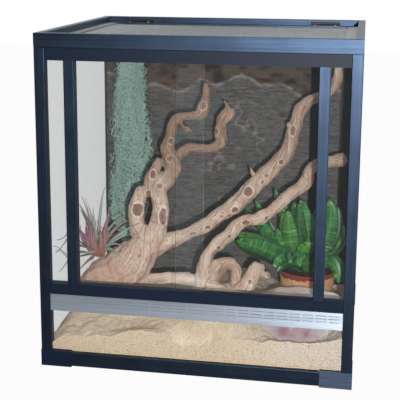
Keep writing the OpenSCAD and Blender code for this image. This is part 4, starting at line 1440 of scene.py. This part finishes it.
def blades(paths: Array, half_widths: Array, across: Array, dish: float, facing: Array) -> Form:
    """Spreads a dished ribbon along each path.

    A point at share a across, from -1 to 1, is path + a w u + dish w (a^2 - 0.5) v.

    Args:
        paths: middles of the ribbons, as (n, m, 3).
        half_widths: half width w at each point, as (n, m).
        across: the shares a.
        dish: depth of the dish over the half width.
        facing: direction that the ribbons face, see frames_along.

    Returns:
        Points as (n, m, shares, 3), and faces.
    """
    _, u, v = frames_along(paths, facing)
    a = across[None, None, :, None]
    w = half_widths[:, :, None, None]
    grid = paths[:, :, None] + a * w * u[:, :, None] + dish * w * (a**2 - 0.5) * v[:, :, None]
    n, m, k, _ = grid.shape
    return grid, [repeated(grid_faces(m, k), m * k, n)]


def spread(shares: dict[str, Array], size: tuple[int, int, int]) -> dict[str, Array]:
    """Gives every point of all blades its share, from shares that hold for a whole row."""
    return {name: np.broadcast_to(share, size).ravel() for name, share in shares.items()}


def thicken(piece: Piece, thickness: float) -> None:
    """Gives a sheet of blades a real thickness in millimetres, to both sides."""
    solid = piece.modifiers.new("thickness", "SOLIDIFY")
    solid.thickness = thickness * MM
    solid.offset = 0.0


class Tone(Enum):
    """The tones of an air plant's leaf."""

    PLAIN = "plain"
    OLIVE = "olive"
    MAUVE = "mauve"
    GREEN = "green"
    DUSK = "dusk"


@dataclass(frozen=True)
class Spray:
    """A leaf of the air plant, in millimetres.

    Attributes:
        tip: where it ends.
        rise: how far its middle rises.
        half_width: its half width at the widest.
        tone: its tone towards the tip.
        curl: how far its last part curls up.
    """

    tip: Place
    rise: float
    half_width: float
    tone: Tone = Tone.PLAIN
    curl: float = 0.0


@dataclass
class AirPlant:
    """A rosette of tapering leaves round a swollen heart, on the foot of the driftwood."""

    seed: int = 23
    base: Place = (-226, -106, 186)
    young: int = 44
    heart_reach: tuple[float, float] = (42.0, 72.0)
    heart_radius: tuple[float, float] = (10.0, 25.0)
    young_rise: tuple[float, float] = (2.0, 12.0)
    young_half: tuple[float, float] = (6.5, 10.0)
    young_reach: tuple[float, float] = (0.5, 1.3)
    young_lean: Place = (0.0, -6.0, 0.0)
    young_bow: Place = (0.0, -4.0, 22.0)
    young_bulge: float = 1.5
    young_mauve: tuple[float, float] = (0.0, 0.8)
    flatness: float = 0.8
    foot_scatter: float = 2.0
    foot_out: Place = (0.042, 0.042, 0.0)
    arch_in: Place = (0.07, 0.07, 0.0)
    sway_turn: float = 3.5
    sway_start: tuple[float, float] = (0.0, 6.0)
    sway: tuple[float, float] = (1.0, 4.0)
    curl_from: float = 0.45
    heart_fade: float = 0.32
    young_heart: float = 0.75
    tone_fade: float = 3.0
    points_each: int = 18
    columns: int = 5
    dish: float = 0.7
    facing: Place = (0.2, 1.0, 0.0)
    least_half: float = 0.4
    edge_x: float = -289.0
    thickness: float = 0.8
    leaves: tuple[Spray, ...] = (
        Spray((-258, -122, 294), 12, 8.0, Tone.OLIVE),
        Spray((-250, -130, 286), 6, 5.0, Tone.OLIVE),
        Spray((-238, -112, 292), 10, 5.5, Tone.GREEN),
        Spray((-230, -108, 286), 8, 4.5, Tone.GREEN),
        Spray((-210, -90, 329), 42, 3.6, Tone.GREEN), Spray((-254, -112, 308), 20, 2.4),
        Spray((-247, -110, 304), 16, 2.0), Spray((-204, -95, 284), -4, 8.0, Tone.MAUVE),
        Spray((-200, -92, 272), -8, 6.0, Tone.MAUVE),
        Spray((-264, -160, 262), 14, 5.0, Tone.MAUVE),
        Spray((-250, -188, 210), 2, 6.5, Tone.GREEN),
        Spray((-244, -182, 168), 16, 4.0, Tone.MAUVE), Spray((-160, -84, 256), 22, 5.0),
        Spray((-138, -100, 255), 16, 5.0, Tone.GREEN),
        Spray((-150, -120, 238), 12, 4.0, Tone.GREEN),
        Spray((-158, -140, 216), 22, 4.0, Tone.GREEN),
        Spray((-155, -150, 188), 34, 4.0, Tone.GREEN),
        Spray((-176, -78, 262), 26, 3.0, Tone.GREEN),
        Spray((-283, -190, 252), 4, 2.2, Tone.DUSK, 14),
        Spray((-286, -198, 230), 16, 2.2, Tone.DUSK, 16),
        Spray((-285, -200, 216), 8, 2.2, Tone.DUSK, -12),
        Spray((-284, -200, 204), 18, 2.4, Tone.DUSK, -16),
        Spray((-279, -200, 186), 12, 2.4, Tone.DUSK, 10),
        Spray((-262, -196, 232), 26, 3.0, Tone.MAUVE), Spray((-256, -194, 222), 20, 3.0),
        Spray((-226, -70, 286), 12, 4.0, Tone.GREEN),
    )

    def half_widths(self, share: Array) -> Array:
        """Gives a leaf's half width over its widest, which it has at a fifth of its length."""
        return np.interp(share, (0.0, 0.2, 0.5, 0.8, 1.0), (0.6, 1.0, 0.66, 0.26, 0.03))

    def build(self) -> None:
        """Bends each leaf from the heart to its tip, and wraps the heart in short leaves."""
        random = np.random.default_rng(self.seed)
        base, young = np.array(self.base), self.young
        way = random.uniform(0, 2 * np.pi, young)
        side = np.stack([np.cos(way), self.flatness * np.sin(way), np.zeros(young)], 1)
        side *= random.uniform(*self.heart_radius, (young, 1))
        short = base + side * random.uniform(*self.young_reach, (young, 1)) + self.young_lean
        short[:, 2] += random.uniform(*self.heart_reach, young)
        tips = np.concatenate([[leaf.tip for leaf in self.leaves], short])
        set_shapes = np.array([(leaf.rise, leaf.half_width, leaf.curl) for leaf in self.leaves])
        rises = random.uniform(*self.young_rise, young)
        halves = random.uniform(*self.young_half, young)
        drawn = np.stack([rises, halves, np.zeros(young)])
        rise, half, curl = np.concatenate([set_shapes.T, drawn], 1)
        n, old = len(tips), len(self.leaves)
        out = tips - base
        foot = base + random.normal(0, self.foot_scatter, (n, 3)) + out * self.foot_out
        middle = (foot + tips) / 2 - out * self.arch_in
        middle[:, 2] += rise
        middle[old:] = base + self.young_bulge * side + self.young_bow
        share = np.linspace(0, 1, self.points_each)
        paths = bow(foot, middle, tips, share)
        wave = np.sin(self.sway_turn * share + random.uniform(*self.sway_start, (n, 1)))
        paths[:, :, 0] += wave * share * random.uniform(*self.sway, (n, 1))
        paths[:, :, 2] += curl[:, None] * np.sin(1.5 * np.pi * ramp(share, self.curl_from, 1))
        widths = np.maximum(half[:, None] * self.half_widths(share), self.least_half)
        across = np.linspace(-1, 1, self.columns)
        grid, faces = blades(paths, widths, across, self.dish, np.array(self.facing))
        grid[..., 0] = np.maximum(grid[..., 0], self.edge_x)
        is_short = np.arange(n) >= old
        young_fade = self.young_heart * (1 - share)
        fade = np.where(is_short[:, None], young_fade, ramp(share, self.heart_fade, 0))
        marks = {"heart": fade[:, :, None]}
        for tone in (Tone.OLIVE, Tone.MAUVE, Tone.GREEN, Tone.DUSK):
            own = np.concatenate([[leaf.tone is tone for leaf in self.leaves], np.zeros(young)])
            if tone is Tone.MAUVE:
                own[is_short] = random.uniform(*self.young_mauve, young)
            full = np.minimum(self.tone_fade * share, 1)[:, None]
            marks[tone.value] = own[:, None, None] * full
        plant = make_object("air_plant_leaves", grid.reshape(-1, 3), faces)
        thicken(plant, self.thickness)
        marks = spread(marks, grid.shape[:3])
        settle(plant, AIR_LEAF, ("air_plant",), marks=marks)


@dataclass
class LeafyPlant:
    """Broad banded leaves that stand in the bowl.

    A leaf is the place that it leans towards, its tip and its half width.
    """

    crown: Place = (198, 22, 130)
    turn: float = 71.0
    low: Place = (53, -42, 119)
    high: Place = (272, 70, 302)
    leaves: tuple[tuple[Place, Place, float], ...] = (
        ((118, 0, 186), (53, -29, 207), 20), ((140, 4, 172), (134, 0, 229), 13),
        ((158, -12, 200), (157, -10, 274), 16), ((212, 6, 214), (180, 10, 292), 17),
        ((170, -18, 196), (211, -20, 207), 13), ((170, -20, 206), (186, -42, 162), 14),
        ((150, -10, 190), (132, -32, 154), 13), ((262, 28, 214), (239, 30, 291), 17),
        ((268, 46, 190), (268, 50, 232), 12), ((258, -6, 200), (266, -24, 126), 14),
        ((140, 44, 230), (123, 52, 302), 9), ((110, 44, 210), (80, 60, 274), 9),
        ((108, 22, 190), (104, 20, 240), 12), ((166, 36, 220), (171, 42, 266), 15),
        ((206, 40, 200), (214, 52, 262), 15), ((228, -4, 174), (240, -26, 200), 13),
    )
    seed: int = 31
    widen: float = 1.15
    extra: int = 44
    extra_spread: Place = (17, 7, 14)
    extra_shift: Place = (0, 20, -12)
    extra_bow: float = 0.7
    extra_half: float = 0.85
    extra_shade: tuple[float, float] = (0.05, 0.7)
    foot_spread: Place = (14, 10, 0)
    rows: int = 24
    columns: int = 9
    dish: float = 0.26
    facing: Place = (0.2, 1.0, 0.1)
    least_half: float = 0.3
    ripple: float = 0.07
    ripple_turn: float = 12.0
    band_draw: float = 0.16
    band_shift: float = 9.7
    foot_shade: float = 0.45
    most_shade: float = 0.85
    young_share: float = 0.3
    young_tone: float = 0.7
    rib: Place = (0.0, 0.09, 0.15)
    edge_from: float = 0.8
    edge_tone: float = 0.5
    thickness: float = 0.9

    def width_share(self, share: Array) -> Array:
        """Gives a leaf's half width over its widest: 0.1 (1 - s) + 0.9 sin(180 s^1.05)^0.55."""
        return 0.1 * (1 - share) + 0.9 * np.maximum(np.sin(np.pi * share**1.05), 0) ** 0.55

    def build(self) -> None:
        """Bends the leaves out of the soil, and adds smaller ones behind and between them."""
        random = np.random.default_rng(self.seed)
        middle, tip, half = (np.array(part, float) for part in zip(*self.leaves))
        half *= self.widen
        named = len(half)
        pick = random.integers(0, named, self.extra)
        shift = random.normal(0, 1, (self.extra, 3)) * self.extra_spread + self.extra_shift
        middle = np.concatenate([middle, middle[pick] + self.extra_bow * shift])
        tip = np.concatenate([tip, tip[pick] + shift])
        middle, tip = (np.clip(ends, self.low, self.high) for ends in (middle, tip))
        half = np.concatenate([half, half[pick] * self.extra_half])
        number = np.arange(len(half))
        each = number[:, None, None]
        turn = np.radians(self.turn * number)
        ring = np.stack([np.cos(turn), np.sin(turn), np.zeros(len(turn))], 1)
        foot = self.crown + ring * self.foot_spread
        share = np.linspace(0, 1, self.rows)
        across = np.linspace(-1, 1, self.columns)
        paths = bow(foot, middle, tip, share)
        widths = half[:, None] * self.width_share(share)[None] + self.least_half
        grid, faces = blades(paths, widths, across, self.dish, np.array(self.facing))
        ripple = np.sin(self.ripple_turn * share[None, :, None] + 2 * each) * across**2
        grid[..., 1] += self.ripple * half[:, None, None] * ripple
        size = grid.shape[:3]
        along = (np.linalg.norm(tip - foot, axis=1)[:, None] * share)[..., None]
        place = (along, half[:, None, None] * across * self.band_draw, self.band_shift * each)
        place = np.stack([np.broadcast_to(part, size) for part in place], -1)
        behind = np.where(number < named, 0.0, random.uniform(*self.extra_shade, len(half)))
        shade = behind[:, None, None] + self.foot_shade * (1 - share)[None, :, None]
        young = self.young_tone * (random.random(len(half)) < self.young_share)
        marks = {
            "shade": np.minimum(shade, self.most_shade),
            "young": young[:, None, None],
            "rib": bump(across, *self.rib),
            "edge": self.edge_tone * ramp(np.abs(across), self.edge_from, 1),
        }
        marks = {"leaf_mm": place.reshape(-1, 3), **spread(marks, size)}
        plant = make_object("leafy_plant_leaves", grid.reshape(-1, 3), faces)
        thicken(plant, self.thickness)
        settle(plant, BANDED_LEAF, ("leafy_plant",), marks=marks)


@dataclass
class Soil:
    """Crumbly soil, heaped in the plant's bowl."""

    middle: tuple[float, float] = (198, 22)
    radius: float = 54.0
    level: float = 131.0
    heap: float = 3.0
    crumbs: Noise = Noise(1.8, 7.0, 3, 91)
    rings: int = 22
    inner_radius: float = 0.5
    sides: int = 72
    floor: float = 119.0
    floor_radius: float = 52.0

    def build(self) -> None:
        """Makes the soil as rings of points with noise for their height."""
        radii = np.linspace(self.radius, self.inner_radius, self.rings)
        turns = np.linspace(0, 2 * np.pi, self.sides, endpoint=False)
        ring, turn = np.meshgrid(radii, turns, indexing="ij")
        flat = np.stack([ring * np.cos(turn), ring * np.sin(turn), np.zeros_like(ring)], -1)
        crumbs = self.crumbs.at(flat.reshape(-1, 3)).reshape(ring.shape)
        rows = flat + np.array([*self.middle, 0])
        rows[..., 2] = self.level + self.heap * (1 - (ring / self.radius) ** 2) + crumbs
        deep = flat[:1] * self.floor_radius / self.radius + np.array([*self.middle, self.floor])
        rows = np.concatenate([deep, rows])
        last = np.arange(self.rings * self.sides, len(rows) * self.sides)[None]
        faces = [grid_faces(len(rows), self.sides, True), last, np.arange(self.sides)[None, ::-1]]
        soil = make_object("bowl_soil", rows.reshape(-1, 3), faces)
        settle(soil, PEAT, ("leafy_plant",))


@dataclass
class FlatStone:
    """A slab of split stone bedded in the sand, in front of the bowl.

    Its form is a hull round lobes, each a place and a radius. Its front is dusty and its
    right end pale, its upward faces are painted paler as painted light, and a plum band
    runs in the middle of the front.
    """

    lobes: Stations = (
        (116, -184, 58, 24), (256, -186, 60, 24), (120, -128, 96, 23), (262, -126, 95, 22),
        (126, -80, 99, 22), (150, -76, 108, 22), (254, -78, 105, 21), (180, -160, 92, 24),
        (190, -75, 112, 22),
    )
    shrink: float = 0.97
    voxel: float = 2.4
    smooth_rounds: int = 3
    beds: Noise = Noise(1.8, (40.0, 40.0, 7.0), 4, 101, -1.0)
    grit: Noise = Noise(1.0, 8.0, 3, 103)
    ragged: Noise = Noise(1.0, 14.0, 3, 105)
    front: tuple[float, float] = (-150.0, -170.0)
    dust_full: float = 1.4
    dust_slope: float = 1.2
    dust_tone: float = 0.85
    pale: tuple[float, float] = (205.0, 265.0)
    pale_ragged: float = 0.5
    painted_top_light: float = 0.45
    most_pale: float = 0.8
    plum_x: float = 190.0
    plum_z: float = 82.0
    plum_tall: float = 12.0
    plum_wide: float = 45.0
    plum_wave: float = 4.0
    plum_full: tuple[float, float] = (1.5, 1.6)
    plum_broken: tuple[float, float] = (0.8, 0.8)
    most_plum: float = 0.9

    def hull(self) -> tuple[Array, Array]:
        """Wraps the lobes: points of a ball, r (cos a cos b, sin a cos b, sin b), at each lobe.

        Returns:
            Points and triangles of the hull.
        """
        a, b = np.meshgrid(
            np.linspace(0, 2 * np.pi, 24, endpoint=False), np.linspace(-np.pi / 2, np.pi / 2, 13)
        )
        ball = np.stack([np.cos(a) * np.cos(b), np.sin(a) * np.cos(b), np.sin(b)], -1)
        lobes = np.array(self.lobes, float)[:, None]
        cloud = lobes[..., :3] + lobes[..., 3:] * self.shrink * ball.reshape(-1, 3)
        mesh = bpy.data.meshes.new("lobes")
        mesh.from_pydata(cloud.reshape(-1, 3).tolist(), [], [])
        shape = bmesh.new()
        shape.from_mesh(mesh)
        bmesh.ops.convex_hull(shape, input=shape.verts)
        inside = [corner for corner in shape.verts if not corner.link_faces]
        bmesh.ops.delete(shape, geom=inside, context="VERTS")
        bmesh.ops.triangulate(shape, faces=shape.faces)
        shape.verts.index_update()
        points = np.array([corner.co for corner in shape.verts])
        faces = np.array([[corner.index for corner in face.verts] for face in shape.faces])
        shape.free()
        bpy.data.meshes.remove(mesh)
        return points, faces

    def build(self) -> None:
        """Melts the hull to an even skin, splits it in beds and marks its tones."""
        points, faces = self.hull()
        points, faces, out = fused(points, [faces], self.voxel, self.smooth_rounds)
        ragged = self.ragged.at(points)
        points = points + out * (self.beds.at(points) + self.grit.at(points))[:, None]
        x, y, z = points.T
        up = out[:, 2]
        dusty = self.dust_full - self.dust_slope * np.maximum(up, 0)
        front = ramp(y, *self.front) * np.clip(dusty, 0, 1)
        level = self.plum_z + self.plum_wave * ragged
        tall, wide = self.plum_full
        band = np.clip(tall - np.abs(z - level) / self.plum_tall, 0, 1)
        band *= np.clip(wide - np.abs(x - self.plum_x) / self.plum_wide, 0, 1)
        broken = self.plum_broken[0] + self.plum_broken[1] * ragged
        start, end = self.pale
        # painted light: upward faces are painted paler, over the paler right end
        pale = (x - start) / (end - start) + self.pale_ragged * ragged + self.painted_top_light * up
        marks = {
            "pale": np.clip(pale, 0, self.most_pale),
            "dusty": self.dust_tone * front,
            "plum": np.clip(front * band * broken, 0, self.most_plum),
        }
        stone = make_object("stone_slab", points, faces)
        settle(stone, SANDSTONE, ("flat_stone",), marks=marks)


# ---------------------------------------------------------------- the studio


@dataclass(frozen=True)
class Lamp:
    """A square lamp: where it hangs and what it points at in metres, its side and its watts."""

    name: str
    place: Place
    aim: Place
    size: float
    watts: float

    def build(self) -> None:
        """Hangs the lamp."""
        data = bpy.data.lights.new(self.name, "AREA")
        data.size = self.size
        data.energy = self.watts
        lamp = linked(self.name, data)
        lamp.location = self.place
        ahead = Vector(self.aim) - lamp.location
        lamp.rotation_euler = ahead.to_track_quat("-Z", "Y").to_euler()


@dataclass
class Studio:
    """Camera, lamps, floor and white surround."""

    eye: Place = (0.3012, -1.9138, 0.7932)
    yaw: float = 9.85
    pitch: float = 11.10
    roll: float = 0.33
    focal_px: float = 948.0
    frame_px: float = 400.0
    axis_px: float = 140.0
    sensor_mm: float = 36.0
    fill: float = 0.2
    dark_end: float = 0.03
    dark_y: float = 0.15
    floor_size: float = 6000.0
    floor_glow: float = 0.97
    lamps: tuple[Lamp, ...] = (
        Lamp("flash", (0.365, -1.92, 0.72), (0.0, 0.0, 0.34), 0.02, 28.0),
        Lamp("softbox", (-0.1, -1.1, 2.1), (0.0, 0.0, 0.3), 1.3, 12.0),
    )

    def camera(self) -> None:
        """Sets the camera from its yaw to the left, pitch down and roll, and shifts the frame."""
        yaw, pitch, roll = (math.radians(a) for a in (self.yaw, self.pitch, self.roll))
        level = Vector((math.cos(yaw), math.sin(yaw), 0))
        ahead = Vector((-level.y, level.x, 0)) * math.cos(pitch)
        ahead.z = -math.sin(pitch)
        above = level.cross(ahead)
        right = level * math.cos(roll) + above * math.sin(roll)
        up = above * math.cos(roll) - level * math.sin(roll)
        data = bpy.data.cameras.new("camera")
        data.sensor_width = self.sensor_mm
        data.lens = self.focal_px / self.frame_px * self.sensor_mm
        data.shift_y = (self.axis_px - self.frame_px / 2) / self.frame_px
        camera = linked("camera", data)
        turn = Matrix((right, up, -ahead)).transposed().to_4x4()
        camera.matrix_world = Matrix.Translation(Vector(self.eye)) @ turn
        bpy.context.scene.camera = camera

    def white(self, tree: Tree) -> Socket:
        """Is 1 for rays from the camera and through glass, and 0 for light.

        Off gloss it is 1 behind the object and dim before it, where a studio has its dark end.
        """
        camera, gloss, through = (
            add(tree, "LightPath", out=f"Is {kind} Ray")
            for kind in ("Camera", "Glossy", "Transmission")
        )
        depth = add(tree, "SeparateXYZ", {0: add(tree, "TexCoord", out="Object")}, out="Y")
        limits = {"From Min": -self.dark_y, "From Max": self.dark_y, "To Min": self.dark_end}
        dimmed = add(tree, "MapRange", {"Value": depth, **limits})
        mirrored = add(tree, "Math", {0: gloss, 1: dimmed}, operation="MULTIPLY")
        direct = add(tree, "Math", {0: camera, 1: through}, operation="MAXIMUM")
        return add(tree, "Math", {0: direct, 1: mirrored}, operation="MAXIMUM")

    def surround(self) -> None:
        """Makes the world white where it is seen, and a soft fill where it only lights."""
        world = bpy.data.worlds.new("studio")
        bpy.context.scene.world = world
        tree = blank(world)
        gloss = add(tree, "LightPath", out="Is Glossy Ray")
        fill = add(tree, "MapRange", {"Value": gloss, "To Min": self.fill, "To Max": 0.0})
        strength = add(tree, "Math", {0: self.white(tree), 1: fill}, operation="MAXIMUM")
        sky = add(tree, "Background", {"Color": "#ffffff", "Strength": strength})
        add(tree, "OutputWorld", {"Surface": sky})

    def floor(self) -> None:
        """Lays a white paper floor that glows where it is seen and keeps a faint shadow."""
        far = self.floor_size
        corners = np.array([[-far, -far, 0], [far, -far, 0], [far, far, 0], [-far, far, 0]])
        floor = make_object("studio_floor", corners, [np.array([[0, 1, 2, 3]])])
        material = bpy.data.materials.new("paper_backdrop")
        tree = blank(material)
        matt = add(tree, "BsdfPrincipled", {"Base Color": "#707070", "Roughness": 0.9})
        glow = add(tree, "Emission", {"Color": "#ffffff", "Strength": 1.0})
        share = add(tree, "Math", {0: self.white(tree), 1: self.floor_glow}, operation="MULTIPLY")
        paper = add(tree, "MixShader", {0: share, 1: matt, 2: glow})
        add(tree, "OutputMaterial", {"Surface": paper})
        floor.data.materials.append(material)

    def build(self) -> None:
        """Sets up the whole studio."""
        bpy.context.scene.view_settings.view_transform = "Standard"
        self.camera()
        self.surround()
        self.floor()
        for lamp in self.lamps:
            lamp.build()


# The fine mesh at the back of the vent strip, which keeps small insects in.
VENT_MESH = Gauze(
    "vent_mesh", "vent_strip", Axis.Y, 1.6, 0.1,
    level=-245.1, low_margin=(1.0, 0.0, 8.0), high_margin=(1.0, 0.0, 2.0),
)
# The lid's gauze, which stands for the CAD's plate.
LID_GAUZE = Gauze("gauze_mesh", "lid_gauze", Axis.Z, 2.0, 0.3)


def main() -> None:
    """Builds the studio and every piece, in order."""
    logging.basicConfig(level=logging.INFO, format="%(message)s")
    Studio().build()
    Case().dress()
    VENT_MESH.build("silver_aluminium")
    LID_GAUZE.build("gauze", ("lid_gauze",), "lid")
    SandBed().build()
    for node in ("bark_panel", "bark_strip"):
        BarkTile(node).build()
    Driftwood().build()
    HangingMoss().build()
    AirPlant().build()
    LeafyPlant().build()
    Soil().build()
    FlatStone().build()


if __name__ == "__main__":
    main()
